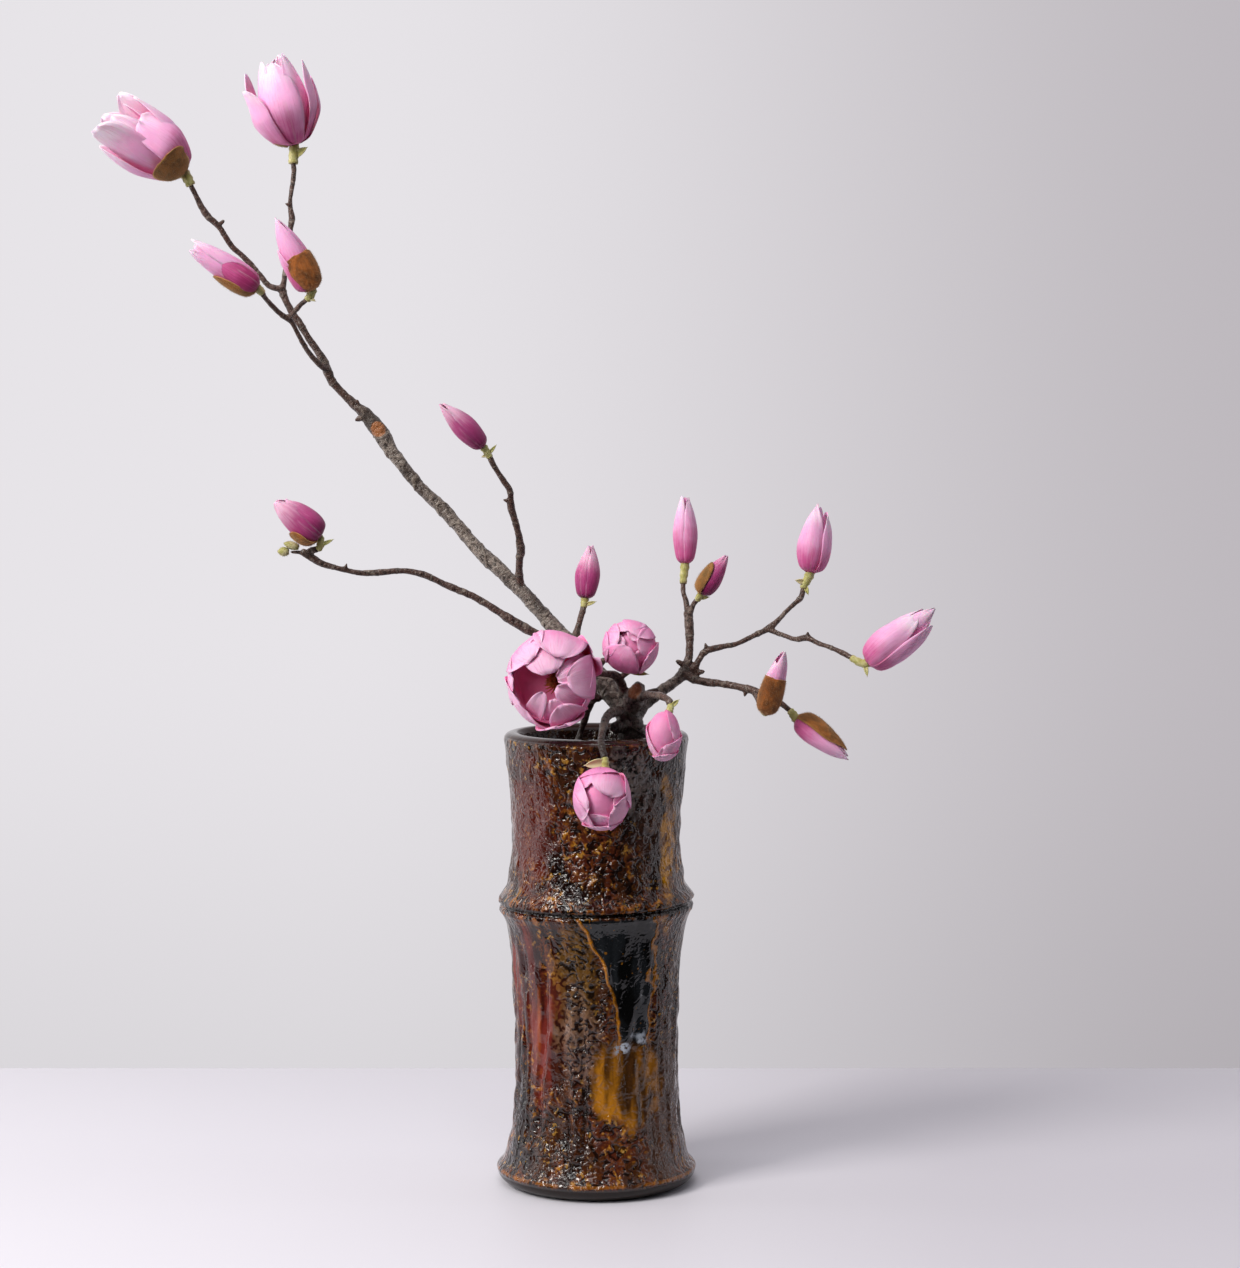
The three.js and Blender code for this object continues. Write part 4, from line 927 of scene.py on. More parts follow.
def new_tepal_skin(name, tip, middle, base, deep, inner):
    """A waxy tepal: soft light passes into it, and its gloss is faint and broad."""
    material, shader, place = new_material(
        name, Roughness=0.5, Subsurface_Weight=0.3, Subsurface_Scale=0.001, Specular_IOR_Level=0.32,
        Sheen_Weight=0.12, Sheen_Roughness=0.4, Subsurface_Radius=(1.0, 0.35, 0.55))
    pair, across, along = surface_pair(place.tree)
    inside, tint = (read_mark(place.tree, mark) for mark in ("inside", "tint"))
    streak = grain(stretched(pair, (15, 1.2, 1)), 1.0, 4, 0.65, 0.6)
    cloud = grain(place, 70, 3, 0.5)
    speck = grain(place, 700, 2, 0.5)
    level = (cloud - 0.5) * 0.45 + ((streak - 0.5) * 0.8 + along) - tint
    colour = blend(mask(level, 0.58, 1.08), middle, tip)
    colour = blend(mask(level, 0.56, 0.12), colour, base)
    colour = blend(mask(level, 0.16, -0.2), colour, deep)
    colour = blend(mask(streak, 0.53, 0.7, 0.45), colour, base)
    colour = blend(mask(streak, 0.45, 0.32, 0.25), colour, tip)
    colour = blend(inside * mask(along, 1.0, 0.4, 0.9), colour, inner)
    colour = blend(band(across, 0.5, 0.44, 0.5, 0.15), colour, tip)
    colour = blend(mask(speck, 0.62, 0.7, 0.08), colour, deep)
    link_shader(shader, cloud * 2.4 + streak, 0.6, 0.0005, Base_Color=colour)
    return material


pale_skin = new_tepal_skin("pale magnolia tepal", "#FDE6F5", "#F5AEDA", "#CF5A96", "#A22E68", "#EE7FB0")
# The rosy skin's inner colour is the tepals' deeper inside pink lifted lighter: partly painted light, for the
# light that passes through the thin tepals into the open throat.
rose_skin = new_tepal_skin("rosy magnolia tepal", "#F9C0E0", "#EE8EC2", "#CC5690", "#B0386C", "#FF9AC6")
deep_skin = new_tepal_skin("deep magnolia tepal", "#F2C0DA", "#B94A86", "#8A225C", "#5A1236", "#B03A70")

# Each bloom: its foot and tip, half-width, skin, and its tepals from the outside in. A tepal is its
# turn (0 faces the front), spread, belly, lean and tallness, and what sets it off from a plain spoon.
BLOOMS = {
    "a": ((-292.4, 12, 721.5), (-337.7, -6, 761), 24, pale_skin, [
        (-92, 36, 0.96, 1.12, 0.88, dict(tint=-0.1, curl=-2, blunt=3.2)),
        (34, 40, 0.99, 0.72, 0.78, dict(tint=0.1, dent=2.5, wave=0.8, blunt=3.0)),
        (-40, 44, 0.84, 0.98, 1.08, dict(tint=-0.08, curl=1.5, wave=1.0, blunt=3.6)),
        (88, 34, 0.92, 0.74, 0.95, dict(wave=1.0)),
        (150, 38, 0.9, 0.86, 1.06, dict(tint=-0.15, point=0.8, curl=3, wave=1.2)),
        (200, 42, 0.92, 0.95, 1.04, dict(tint=-0.1, point=0.7, wave=1.2)),
        (-8, 40, 0.72, 0.62, 1.02, dict(tint=-0.1, point=0.7, wave=1.0)),
        (95, 40, 0.62, 0.4, 0.98, dict(tint=0.1, point=0.7)),
        (215, 40, 0.62, 0.5, 0.96, {}),
    ]),
    "b": ((-217.9, 51, 744), (-232.4, 44, 806.5), 25, pale_skin, [
        (-60, 36, 0.98, 1.0, 0.68, dict(tint=0.05, curl=4, sway=2, wave=0.9)),
        (-102, 26, 0.94, 0.9, 0.88, dict(full=0.3)),
        (-6, 46, 0.93, 0.36, 0.92, dict(wave=1.0, full=0.35)),
        (80, 25, 0.94, 0.8, 0.88, dict(tint=0.06, point=0.8, curl=1, full=0.3)),
        (112, 26, 0.98, 0.95, 0.7, dict(tint=0.2)),
        (175, 46, 0.9, 0.62, 0.97, dict(point=0.7, wave=1.0, full=0.3)),
        (52, 36, 0.74, 0.4, 1.0, dict(point=0.9, full=0.2)),
        (-50, 34, 0.7, 0.4, 0.96, dict(point=0.8, full=0.2)),
        (150, 44, 0.64, 0.3, 1.0, dict(point=0.8, full=0.2)),
    ]),
    "c": ((-237.2, -17, 638.6), (-281, -27, 667.3), 10.6, pale_skin, [
        (4, 52, 1.05, 0.6, 0.68, dict(tint=0.6, point=0.8, full=0.0)),
        (74, 66, 0.98, 0.36, 1.06, dict(tint=-0.05, full=0.2, blunt=2.0)),
        (-42, 60, 0.92, 0.5, 1.0, dict(tint=0.1, full=0.1, point=0.7)),
        (190, 80, 0.96, 0.3, 0.96, dict(tint=0.2, full=0.0)),
        (20, 80, 0.72, 0.25, 0.98, dict(tint=0.1, full=0.0)),
    ]),
    "d": ((-199.1, -13, 638.1), (-223, -21, 686.3), 11.6, pale_skin, [
        (-72, 40, 1.0, 0.8, 0.64, dict(tint=0.2, point=0.8)),
        (-10, 66, 0.95, 0.12, 1.02, dict(tint=0.08, blunt=1.8, full=0.0)),
        (118, 70, 0.93, 0.12, 0.98, dict(tint=0.2, full=0.0)),
        (236, 70, 0.9, 0.12, 0.97, dict(full=0.0)),
    ]),
    "e": ((-79.4, -22, 528.2), (-108.4, -34, 558.2), 9.2, deep_skin, [
        (64, 74, 1.0, 0.2, 0.96, dict(tint=-0.15, blunt=1.8, full=0.0)),
        (-40, 72, 0.94, 0.14, 1.0, dict(tint=-0.1, blunt=1.8, full=0.0)),
        (190, 78, 0.97, 0.14, 0.98, dict(full=0.0)),
    ]),
    "f": ((-193.3, -34, 464.9), (-222.2, -42, 490.9), 12, deep_skin, [
        (84, 66, 1.02, 0.4, 0.88, dict(tint=0.02, blunt=2.6, wave=0.8, full=0.0)),
        (-24, 74, 0.96, 0.3, 1.0, dict(tint=-0.1, blunt=2.6, wave=0.6, full=0.1)),
        (200, 84, 0.98, 0.3, 0.98, dict(tint=-0.1, full=0.0)),
    ]),
    "g": ((-8.1, 16, 419.2), (-4.2, 20, 457), 9.2, deep_skin, [
        (70, 72, 1.02, 0.22, 1.0, dict(tint=-0.15, full=0.0, blunt=2.6)),
        (-56, 72, 0.97, 0.18, 0.98, dict(tint=-0.15, full=0.0, blunt=2.6)),
        (182, 80, 0.98, 0.2, 0.98, dict(tint=-0.1, full=0.0)),
    ]),
    "h": ((63.8, 27, 443.7), (63.8, 30, 491.8), 9.3, pale_skin, [
        (64, 70, 1.0, 0.3, 0.98, dict(tint=0.08, blunt=2.6, full=0.1)),
        (-64, 68, 0.96, 0.28, 1.0, dict(tint=0.06, blunt=2.6, full=0.1)),
        (182, 80, 0.97, 0.3, 0.98, dict(tint=0.3, full=0.0)),
    ]),
    "i": ((75.5, 8, 423.2), (93, 0, 450.7), 8, deep_skin, [
        (40, 74, 1.0, 0.12, 1.0, dict(tint=0.06, blunt=1.7, full=0.0)),
        (-70, 70, 0.95, 0.1, 0.98, dict(tint=0.05, blunt=1.8, full=0.0)),
        (180, 76, 0.97, 0.12, 0.97, dict(tint=0.1, full=0.0)),
    ]),
    "j": ((153.4, 21, 436.8), (159.8, 24, 486.2), 13, pale_skin, [
        (62, 36, 1.02, 0.62, 0.84, dict(tint=0.05, point=0.8, full=0.2)),
        (-28, 64, 0.97, 0.16, 1.0, dict(blunt=1.8, wave=0.8, full=0.0)),
        (106, 44, 0.95, 0.5, 0.9, dict(tint=0.25)),
        (200, 74, 0.94, 0.2, 0.98, dict(tint=0.2, full=0.0)),
        (40, 70, 0.7, 0.15, 0.96, dict(tint=0.2, blunt=1.7, full=0.0)),
    ]),
    "k": ((191.6, -25, 375.8), (235, -38, 414), 14.6, pale_skin, [
        (56, 38, 1.0, 0.72, 0.9, dict(tint=0.05, curl=-1, wave=0.8, full=0.2)),
        (-34, 58, 0.98, 0.42, 0.84, dict(wave=0.9, full=0.3)),
        (-110, 54, 0.9, 0.34, 0.92, dict(full=0.2)),
        (140, 60, 0.9, 0.4, 0.92, dict(tint=0.2, full=0.2)),
        (0, 74, 0.7, 0.24, 1.05, dict(tint=0.05, point=0.8, full=0.2)),
    ]),
    "l": ((119.5, -31, 342), (130.4, -50, 385), 8.2, pale_skin, [
        (36, 74, 1.06, 0.24, 1.04, dict(tint=0.05, full=0.0)),
        (-76, 64, 1.0, 0.42, 0.84, dict(full=0.1)),
        (180, 88, 1.0, 0.24, 1.0, dict(tint=0.1, full=0.0)),
    ]),
    "m": ((142.2, -18, 335.1), (178.4, -28, 308.2), 9.5, pale_skin, [
        (36, 72, 1.0, 0.14, 1.0, dict(tint=0.05, full=0.0, blunt=2.0)),
        (-70, 64, 0.95, 0.12, 0.96, dict(tint=0.1, full=0.0, blunt=2.0)),
        (150, 80, 0.97, 0.12, 0.96, dict(tint=0.1, full=0.0)),
    ]),
    "n": ((-24.7, -51, 364), (-32.3, -84, 369), 34, rose_skin, []),
    "o": ((24.6, -21, 374.5), (21.9, -45, 400), 20, rose_skin, []),
    "p": ((6.5, -88, 308.2), (3.5, -112, 274.9), 21.5, rose_skin, []),
    "q": ((50.9, -64, 345), (43.1, -82, 312.3), 13, rose_skin, []),
}
# The builds of the blooms: how broad at the foot and a tenth up, and where each is widest. The ones
# that aren't named here are plain buds.
GOBLET, OVAL, SPINDLE, BUD = (0.22, 0.56, 0.42), (0.22, 0.74, 0.36), (0.4, 0.76, 0.42), (0.4, 0.84, 0.34)
BUILDS = {"a": GOBLET, "b": GOBLET, "j": OVAL, "k": OVAL, "e": SPINDLE, "g": SPINDLE, "h": SPINDLE}

# The blooms that are round: the centre and half-sizes of the globe, the layer and mouth of its heart,
# and the tepals on it. Each is the clock angle of its root, where its tip ends (across and up), its
# breadth, and what sets it off.
GLOBES = {
    "n": ((-30, -62, 366.6), (31, 22, 33.2), (0.9, 74), [
        (112, (-0.56, 0.74), 34, dict(layer=0.99, tint=-0.05)),
        (30, (0.84, 0.5), 24, dict(layer=1.02, flare=0.06, edge=0.1, tint=-0.05, wave=0.05)),
        (-10, (0.82, -0.3), 50, dict(layer=0.95, tint=0.1)),
        (182, (-0.86, 0.0), 30, dict(tint=-0.2)),
        (228, (-0.6, -0.5), 46, dict(layer=0.93, flare=0.14, tint=-0.2, wave=0.05)),
        (284, (0.2, -0.86), 34, dict(layer=0.95, flare=0.12, tint=-0.15, wave=0.05)),
        (140, (-0.44, 0.46), 34, dict(layer=1.02, tint=-0.22, edge=0.05, wave=0.05)),
        (84, (0.12, 0.52), 34, dict(layer=1.05, tint=-0.16, wave=0.05, edge=0.05)),
        (0, (0.36, 0.06), 27, dict(layer=0.98, tint=-0.14, edge=0.05)),
        (-46, (0.18, -0.5), 27, dict(layer=0.95, tint=-0.1, wave=0.04)),
        (97, (-0.07, 0.2), 32, dict(layer=0.95, tint=-0.3, wave=0.05, blunt=3.2)),
        (14, (0.15, 0.1), 20, dict(layer=0.86, tint=-0.15, wave=0.05)),
        (-22, (0.12, -0.12), 22, dict(layer=0.86, tint=-0.1, wave=0.05)),
        (-66, (0.04, -0.42), 22, dict(layer=0.82, tint=-0.1, wave=0.05)),
        (250, (-0.2, -0.24), 15, dict(layer=0.84, tint=-0.3, blunt=3.4)),
    ]),
    "o": ((24, -33, 388), (19.5, 19, 19.3), (0.74, 0), [
        (205, (-0.76, 0.06), 34, dict(tint=0.05)),
        (108, (-0.06, 0.66), 46, dict(layer=0.95, tint=-0.1)),
        (165, (-0.46, 0.16), 40, dict(layer=0.97, tint=-0.1, blunt=3.0)),
        (50, (0.2, 0.48), 42, dict(layer=0.97)),
        (4, (0.28, 0.1), 38, dict(layer=0.94, tint=0.05)),
        (-96, (-0.08, 0.08), 46, dict(layer=0.99, tint=0.1, point=0.7)),
        (-48, (0.6, -0.3), 40, dict(layer=1.03)),
        (35, (0.06, 0.34), 28, dict(layer=0.86)),
        (205, (-0.2, 0.22), 22, dict(layer=0.84, tint=-0.1)),
        (-20, (0.1, -0.3), 60, dict(layer=0.86, tint=0.1)),
        (210, (-0.3, -0.2), 50, dict(layer=0.88, tint=0.1)),
    ]),
    "p": ((4.1, -99, 289.6), (19.7, 19, 22.2), (0.8, 0), [
        (88, (-0.1, 0.84), 46, dict(layer=0.96, tint=0.3)),
        (50, (0.86, 0.08), 30, dict(layer=1.04)),
        (140, (-0.42, -0.16), 42, dict(layer=0.98, tint=-0.2, point=0.7)),
        (96, (0.2, 0.2), 46, dict(layer=0.94, tint=-0.15, blunt=3.0)),
        (-30, (0.4, -0.26), 38, dict(layer=1.01, tint=-0.15)),
        (116, (-0.45, 0.5), 36, dict(layer=0.93)),
        (212, (-0.5, -0.36), 46, dict(layer=0.93, flare=0.08)),
        (272, (0.06, -0.8), 44, dict(layer=0.98, flare=0.05, tint=-0.15)),
        (80, (-0.08, -0.5), 64, dict(layer=0.88, tint=-0.2, point=0.7)),
        (0, (0.5, 0.0), 50, dict(layer=0.86)),
        (250, (0.0, -0.6), 50, dict(layer=0.86)),
    ]),
    "q": ((47, -73, 330.5), (12.4, 12.4, 18.3), (0.86, 0), [
        (60, (0.5, 0.1), 56, dict(layer=0.93, tint=0.05)),
        (128, (-0.4, -0.66), 62, dict(layer=0.97, tint=-0.15)),
        (56, (-0.02, -0.42), 58, dict(tint=-0.1, point=0.8)),
        (-14, (-0.1, -0.72), 44, dict(layer=1.03, tint=-0.15)),
    ]),
}

for name, (_, _, half, skin, tepals) in BLOOMS.items():
    if name in GLOBES:
        centre, size, heart, layers = GLOBES[name]
        skins = [globe_tepal(centre, size, root, end, breadth, **form) for root, end, breadth, form in layers]
        whole = joined([*skins, globe_heart(centre, size, *heart)])
    else:
        height, build = bloom_frame(name)[2], BUILDS.get(name, BUD)
        whole = placed(joined([
            tepal(midline(half, height, belly, lean, tall, build), turn, spread, **form)
            for turn, spread, belly, lean, tall, form in tepals]), name)
    add_piece(f"petals_{name}", whole, skin, f"bloom_{name}")

# ---- Bud scales ---------------------------------------------------------------------------------
# A magnolia bud winters in a leathery scale with silky down. When it opens, the scale splits and slips
# back, and here eight of them still clap one side of their bloom. A turn of 0 faces the front.

SCALE_THICKNESS = 1.1
SCALE_DROP = 0.7
SCALE_STEP = 0.5
SCALE_STATIONS = 6
DOWN_LENGTH = 1.1
DOWN_PER_SQUARE_METRE = 1600000
DOWN_SEED = 7
HAIR_RADIUS = 0.07

# Each scale: its turn, its reach up the bloom, its spread, tint and gap from the bloom, and its point.
SCALES = {
    "a": (-4, 0.32, 54, 0.35, 2.4, 0.5), "b": (-78, 0.2, 34, 1.0, 1.1, 0.5),
    "c": (-72, 0.58, 40, 0.25, 1.1, 0.5), "d": (26, 0.6, 125, 0.0, 1.1, 0.5),
    "f": (-56, 0.56, 28, 0.2, 1.1, 0.5), "i": (-58, 0.72, 46, 0.4, 1.1, 0.5),
    "l": (-2, 0.64, 130, 0.0, 1.9, 0.5), "m": (-74, 0.92, 62, 0.15, 1.4, 0.9),
}


def merged(tree, *geometries):
    """Several geometries as one."""
    both = add_node(tree, "GeometryNodeJoinGeometry")
    for geometry in geometries:
        tree.links.new(geometry.socket, both.socket.node.inputs[0])
    return both


def strewn(points, thing, way, low, high, seed):
    """A thing on every point, standing along a way, in sizes between two shares."""
    tree = points.tree
    stand = add_node(tree, "FunctionNodeAlignRotationToVector", {"Vector": way}, axis="Z")
    size = add_node(tree, "FunctionNodeRandomValue", {2: low, 3: high, "Seed": seed}, out=1,
                    data_type="FLOAT")
    return add_node(tree, "GeometryNodeInstanceOnPoints", {
        "Points": points, "Instance": thing, "Rotation": stand, "Scale": size})


def down_tree(name, material, down, length, density):
    """Covers a piece with short hairs that lean a little, each a three-sided spike."""
    tree, bare, size, density, seed = new_tree(
        name, Length=length * MM, Density=float(density), Seed=DOWN_SEED)
    points = add_node(tree, "GeometryNodeDistributePointsOnFaces", {
        "Mesh": bare, "Density": density, "Seed": seed})
    spike = add_node(tree, "GeometryNodeMeshCone", {
        "Vertices": 3, "Radius Top": 0.0, "Radius Bottom": HAIR_RADIUS * MM, "Depth": size},
        fill_type="NONE")
    lean = add_node(tree, "FunctionNodeRandomValue", {
        "Min": (-0.8, -0.8, -0.8), "Max": (0.8, 0.8, 0.8), "Seed": seed}, data_type="FLOAT_VECTOR")
    way = add_node(tree, "ShaderNodeVectorMath", {0: points.beside("Normal"), 1: lean})
    hairs = add_node(tree, "GeometryNodeRealizeInstances", {0: strewn(points, spike, way, 0.5, 1.2, 3)})
    return give(tree, merged(tree, *(
        add_node(tree, "GeometryNodeSetMaterial", {0: geometry, "Material": paint})
        for geometry, paint in ((hairs, down), (bare, material)))))


# Leathery scale: dull and velvety, rusty brown in the sun, olive where it is fresh, pale at the edge.
scale_skin, shader, place = new_material(
    "leathery bud scale", Roughness=0.75, Sheen_Weight=0.6, Sheen_Roughness=0.5,
    Specular_IOR_Level=0.25, Sheen_Tint=linear("#E8C79A"))
pair, across, along = surface_pair(place.tree)
fibres = grain(stretched(pair, (30, 3, 1)), 1.0, 4, 0.7)
mottle = grain(place, 160, 4, 0.6)
colour = blend(mask(mottle, 0.35, 0.65), "#74401A", "#B0652A")
colour = blend(mask(fibres, 0.45, 0.7, 0.6), colour, "#4E2C14")
colour = blend(read_mark(place.tree, "tint") * 0.8, colour, "#8C7E48")
colour = blend(band(across, 0.5, 0.42, 0.5, 0.5), colour, "#C79A62")
link_shader(shader, fibres + mottle, 0.6, 0.0005, Base_Color=colour)
down, shader, place = new_material("silky bud down", Roughness=0.6, Specular_IOR_Level=0.3)
link_shader(shader, Base_Color=blend(grain(place, 300, 1, 0.5), "#8A6238", "#D2B184"))

scale_down = down_tree("scale down", scale_skin, down, DOWN_LENGTH, DOWN_PER_SQUARE_METRE)
for name, (turn, reach, spread, tint, gap, point) in SCALES.items():
    half, height = BLOOMS[name][2], bloom_frame(name)[2]
    whole = midline(half + gap, height, 1.0, 0.25, 1.0, BUILDS.get(name, BUD))
    line = smooth_line([(r, z - SCALE_DROP) for r, z in whole], SCALE_STEP)
    kept = line[line[:, 1] <= reach * height]
    cover = [tuple(station) for station in kept[::max(1, len(kept) // SCALE_STATIONS)]]
    skin = tepal(cover, turn, spread, widest=0.45, blunt=2.8, full=0.0, foot=1.0, point=point,
                 tint=tint, thickness=SCALE_THICKNESS)
    add_piece(f"husk_{name}", placed(skin, name), scale_skin, f"scale_{name}", scale_down)

# ---- Stalks and leaves --------------------------------------------------------------------------
# Each bloom sits on a short fleshy stalk, yellow green and swollen below the bloom, with a ring where
# the scale was. A small new leaf or a papery stipule stands beside most of them.

STALK_SIDES = 16
STALK_STATIONS = 8
STALK_IN_WOOD, STALK_IN_BLOOM = 0.6, 0.8
STALK_SWELL = 0.1
LEAF_ROWS, LEAF_COLUMNS = 14, 9
LEAF_THICKNESS = 0.6
LEAF_CUP, LEAF_ARCH = 0.22, 0.12

# The radius of each stalk where it leaves the wood and below its bloom.
STALKS = {
    "a": (3.2, 4.1), "b": (3.4, 3.9), "c": (2.6, 3.4), "d": (2.4, 3.5), "e": (2.2, 2.9), "f": (2.4, 3.1),
    "g": (2.2, 3.1), "h": (2.4, 3.4), "i": (2.1, 3.0), "j": (2.3, 3.7), "k": (2.3, 3.3), "l": (1.8, 2.6),
    "m": (2.4, 3.6), "n": (2.2, 3.2), "o": (2.2, 3.0), "p": (2.2, 3.2), "q": (2.1, 2.8),
}
# The leaves on a stalk: the share of it where each starts, its way and length, breadth, and papery or not.
LEAVES = {
    "b": [(0.35, (10.5, -3, 6.5), 5.4, 0)], "d": [(0.2, (5, -2, -3), 2.6, 1)],
    "e": [(0.3, (6, -3, 7), 2.6, 0), (0.2, (-5, -2, -2), 2.6, 1)],
    "f": [(0.4, (10, -4, 4.5), 3, 0)], "g": [(0.3, (9, -2, 2.6), 3, 0)], "i": [(0.2, (8, -2, 1), 3, 0)],
    "j": [(0.2, (2.6, -3, -7.5), 3.4, 0), (0.4, (-8, -3, 2), 4.2, 1)],
    "k": [(0.7, (1.5, -4, -9), 3.4, 0)], "n": [(0.4, (-33, 5, 21), 6.5, 1)],
    "o": [(0.3, (15, 1, -2.5), 4, 0)], "p": [(0.4, (-14.5, -4, -2), 6.6, 1)], "q": [(0.3, (6, 2, 5), 3.4, 0)],
}
LIMB_ENDS = {**MAIN_LIMBS, **LEFT_LIMBS}

# Young growth: soft and matt with a fine down, light green going yellow, straw where it is papery.
green_skin, shader, place = new_material(
    "young magnolia growth", Roughness=0.6, Subsurface_Weight=0.2, Subsurface_Scale=0.002,
    Sheen_Weight=0.4, Specular_IOR_Level=0.35, Subsurface_Radius=(0.8, 1.0, 0.3))
pair, across, along = surface_pair(place.tree)
mottle = grain(place, 240, 4, 0.6)
veins = grain(stretched(pair, (9, 2, 1)), 1.0, 3, 0.6)
colour = blend(mask(mottle, 0.35, 0.65), "#A9A458", "#C9C488")
colour = blend(mask(veins, 0.5, 0.7, 0.5), colour, "#7E8440")
colour = blend(read_mark(place.tree, "tint"), colour, "#D8CBA0")
colour = blend(mask(along, 0.22, 0.0, 0.7), colour, "#8A6A44")
link_shader(shader, veins + mottle, 0.5, 0.0004, Base_Color=colour)


def stalk_line(start, heading, stop, axis, radii):
    """A stalk's middle line from the wood to the bloom, as (middle, radius) stations."""
    reach = (stop - start).length / 3
    line = []
    for t in np.linspace(0, 1, STALK_STATIONS + 1):
        a, b, c, d = (1 - t) ** 3, 3 * t * (1 - t) ** 2, 3 * t * t * (1 - t), t ** 3
        middle = start * a + (start + heading * reach) * b + (stop - axis * reach) * c + stop * d
        swell = 1 + STALK_SWELL * math.sin(t * 19)
        line.append((middle, (radii[0] + (radii[1] - radii[0]) * t ** 0.7) * swell))
    return line


def tube_skin(line):
    """A closed round skin along (middle, radius) stations, with its ends drawn in."""
    middles = [line[0][0], *(m for m, _ in line), line[-1][0]]
    radii = [line[0][1] * 0.4, *(r for _, r in line), line[-1][1] * 0.4]
    across = Vector((0.3, -0.9, 0.2))
    points, uv = [], []
    for step, (middle, radius) in enumerate(zip(middles, radii)):
        ahead = middles[min(step + 2, len(middles) - 1)] - middles[max(step - 2, 0)]
        along = ahead.normalized()
        across = (across - along * across.dot(along)).normalized()
        up = along.cross(across)
        for side in range(STALK_SIDES):
            angle = side / STALK_SIDES * 2 * math.pi
            points.append(middle + across * (radius * math.cos(angle)) + up * (radius * math.sin(angle)))
            uv.append((side / STALK_SIDES, step / (len(middles) - 1)))
    marks = {"tint": np.zeros(len(points))}
    return np.array(points), ring_faces(len(middles), STALK_SIDES), np.array(uv), marks


def leaf_skin(root, tip, breadth, tint):
    """A small cupped leaf from its root towards its tip."""
    u, v = sheet_grid(LEAF_ROWS, LEAF_COLUMNS)
    half = breadth / 2 * np.maximum(0.16, np.sin(np.minimum(1, u * 1.02 + 0.05) ** 0.85 * math.pi) ** 0.6)
    half = half * (1 - 0.5 * (u > 0.99))
    cup = LEAF_CUP * breadth * (v ** 2) * np.sin(u * math.pi)
    arch = LEAF_ARCH * tip.length * (u - u ** 2)
    grid = np.stack(np.broadcast_arrays(u * tip.length, half * v, cup + arch), axis=2)
    way = tip.normalized()
    front = Vector((0, -1, 0))
    up = (front - way * front.dot(way)).normalized()
    turn = np.array(Matrix((way, up.cross(way), up)))
    points, faces = closed_sheet(grid @ turn + np.array(root), np.full(grid.shape[:2], LEAF_THICKNESS))
    pair = np.stack(np.broadcast_arrays((v + 1) / 2, 0.25 + 0.75 * u), axis=2).reshape(-1, 2)
    return points, faces, np.vstack([pair, pair]), {"tint": np.full(len(points), float(tint))}


for name, radii in STALKS.items():
    before, end = (Vector(point[:3]) for point in LIMB_ENDS["stub_o" if name == "o" else f"to_{name}"][-2:])
    foot, tip = (Vector(point) for point in BLOOMS[name][:2])
    heading, axis = (end - before).normalized(), (tip - foot).normalized()
    start, stop = end - heading * STALK_IN_WOOD, foot + axis * STALK_IN_BLOOM
    line = stalk_line(start, heading, stop, axis, radii)
    leaves = [leaf_skin(line[round(share * STALK_STATIONS)][0], Vector(way), breadth, papery)
              for share, way, breadth, papery in LEAVES.get(name, [])]
    add_piece(f"growth_{name}", joined([tube_skin(line), *leaves]), green_skin, f"stalk_{name}")

# ---- Leaf buds ----------------------------------------------------------------------------------
# Two fat leaf buds at the end of the thin branch: pale felted cones that haven't opened yet.

FELT_LENGTH = 0.8
FELT_PER_SQUARE_METRE = 1500000
BUD_GIRTHS = (
    (0, 0.55), (0.12, 0.8), (0.3, 0.96), (0.5, 1), (0.68, 0.86), (0.84, 0.58), (0.94, 0.3), (1, 0.12))
LEAF_BUDS = {
    "leaf_bud_upper": ((-207.5, -33.5, 457.5), (-1, -0.1, 0.3), 11, 3.0),
    "leaf_bud_lower": ((-214.5, -33, 454.6), (-1, -0.1, 0.02), 8, 3.4),
}
felt, shader, place = new_material(
    "felted leaf bud", Roughness=0.8, Sheen_Weight=0.7, Specular_IOR_Level=0.2)
mottle = grain(place, 220, 4, 0.65)
link_shader(shader, mottle, 0.5, 0.0004,
            Base_Color=blend(mask(mottle, 0.35, 0.65), "#9C9A54", "#D0C898"))
bud_down = down_tree("leaf bud down", felt, down, FELT_LENGTH, FELT_PER_SQUARE_METRE)
for name, (root, way, length, radius) in LEAF_BUDS.items():
    heading = Vector(way).normalized()
    line = [(Vector(root) + heading * length * share, radius * girth) for share, girth in BUD_GIRTHS]
    add_piece(name + "_felt", tube_skin(line), felt, name, bud_down)

# ---- Stamens and carpels ------------------------------------------------------------------------
# The open bloom's throat holds a cone of curled carpels in a ring of flat orange stamens. They stand in
# a spiral, which is how every magnolia packs them.

STAMEN_COUNT = 150
STAMEN_LENGTH, STAMEN_FOOT, STAMEN_TIP = 6.5, 0.6, 0.18
GOLDEN_ANGLE = 137.508
HEART_FOOT, HEART_RADIUS, HEART_HEIGHT = 5.5, 4.6, 13
CORE_SIDES, CORE_FOOT, CORE_TIP = 20, 4.8, 1.4


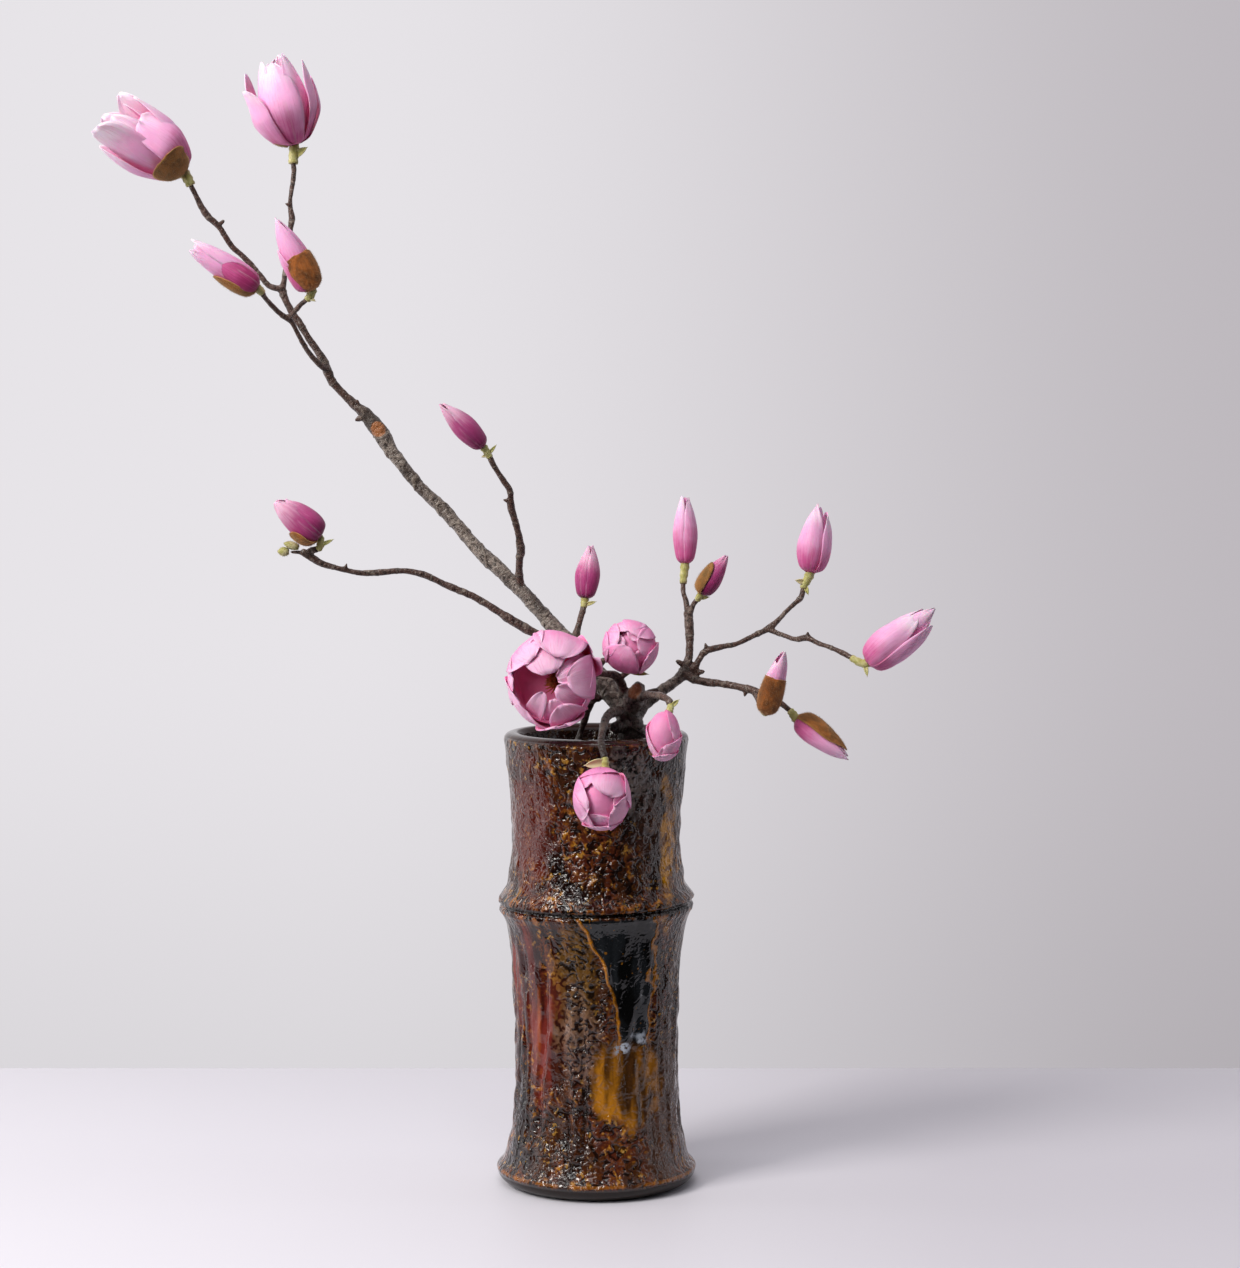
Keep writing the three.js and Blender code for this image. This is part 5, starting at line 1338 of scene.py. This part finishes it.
def spiral_tree(name, material):
    """Sets stamens round a cone by the golden angle, leaning out less as they climb."""
    tree, _, count, foot, radius, height, length = new_tree(
        name, Count=STAMEN_COUNT, Foot=HEART_FOOT * MM, Radius=HEART_RADIUS * MM,
        Height=HEART_HEIGHT * MM, Length=STAMEN_LENGTH * MM)
    index = add_node(tree, "GeometryNodeInputIndex")
    share = index / count
    angle = index * math.radians(GOLDEN_ANGLE)
    radius = reckon("POWER", 1.05 - share, 0.6) * radius
    x, y = radius * reckon("COSINE", angle), radius * reckon("SINE", angle)
    point, way = (add_node(tree, "ShaderNodeCombineXYZ", {0: x, 1: y, 2: z})
                  for z in (share * height + foot, share * 0.012 + 0.004))
    line = add_node(tree, "GeometryNodeMeshLine", {"Count": count})
    ring = add_node(tree, "GeometryNodeSetPosition", {"Geometry": line, "Position": point})
    spike = add_node(tree, "GeometryNodeMeshCone", {
        "Vertices": 6, "Side Segments": 3, "Radius Top": STAMEN_TIP * MM,
        "Radius Bottom": STAMEN_FOOT * MM, "Depth": length})
    core = add_node(tree, "GeometryNodeMeshCone", {
        "Vertices": CORE_SIDES, "Radius Top": CORE_TIP * MM, "Radius Bottom": CORE_FOOT * MM,
        "Depth": HEART_HEIGHT * MM})
    core = add_node(tree, "GeometryNodeTransform", {0: core, "Translation": (0, 0, HEART_FOOT * MM)})
    return give(tree, merged(tree, strewn(ring, spike, way, 0.8, 1.15, 5), core), material)


stamen_skin, shader, place = new_material("magnolia stamens", Roughness=0.55, Subsurface_Weight=0.2)
link_shader(shader, Base_Color=blend(grain(place, 500, 2, 0.5), "#8E2A1C", "#D98A3A"))
host = linked("stamen_host", bpy.data.meshes.new("stamen_host"))
mesh = grown_mesh(host, spiral_tree("stamen spiral", stamen_skin))
bpy.data.objects.remove(host)
turn, place, _ = bloom_frame("n", side=(0, 0, 1))
mesh.transform(Matrix.LocRotScale(Vector(place) * MM, Matrix(turn.tolist()).to_quaternion(), None))
hand_over(linked("stamen_spiral", mesh), "stamens_n")
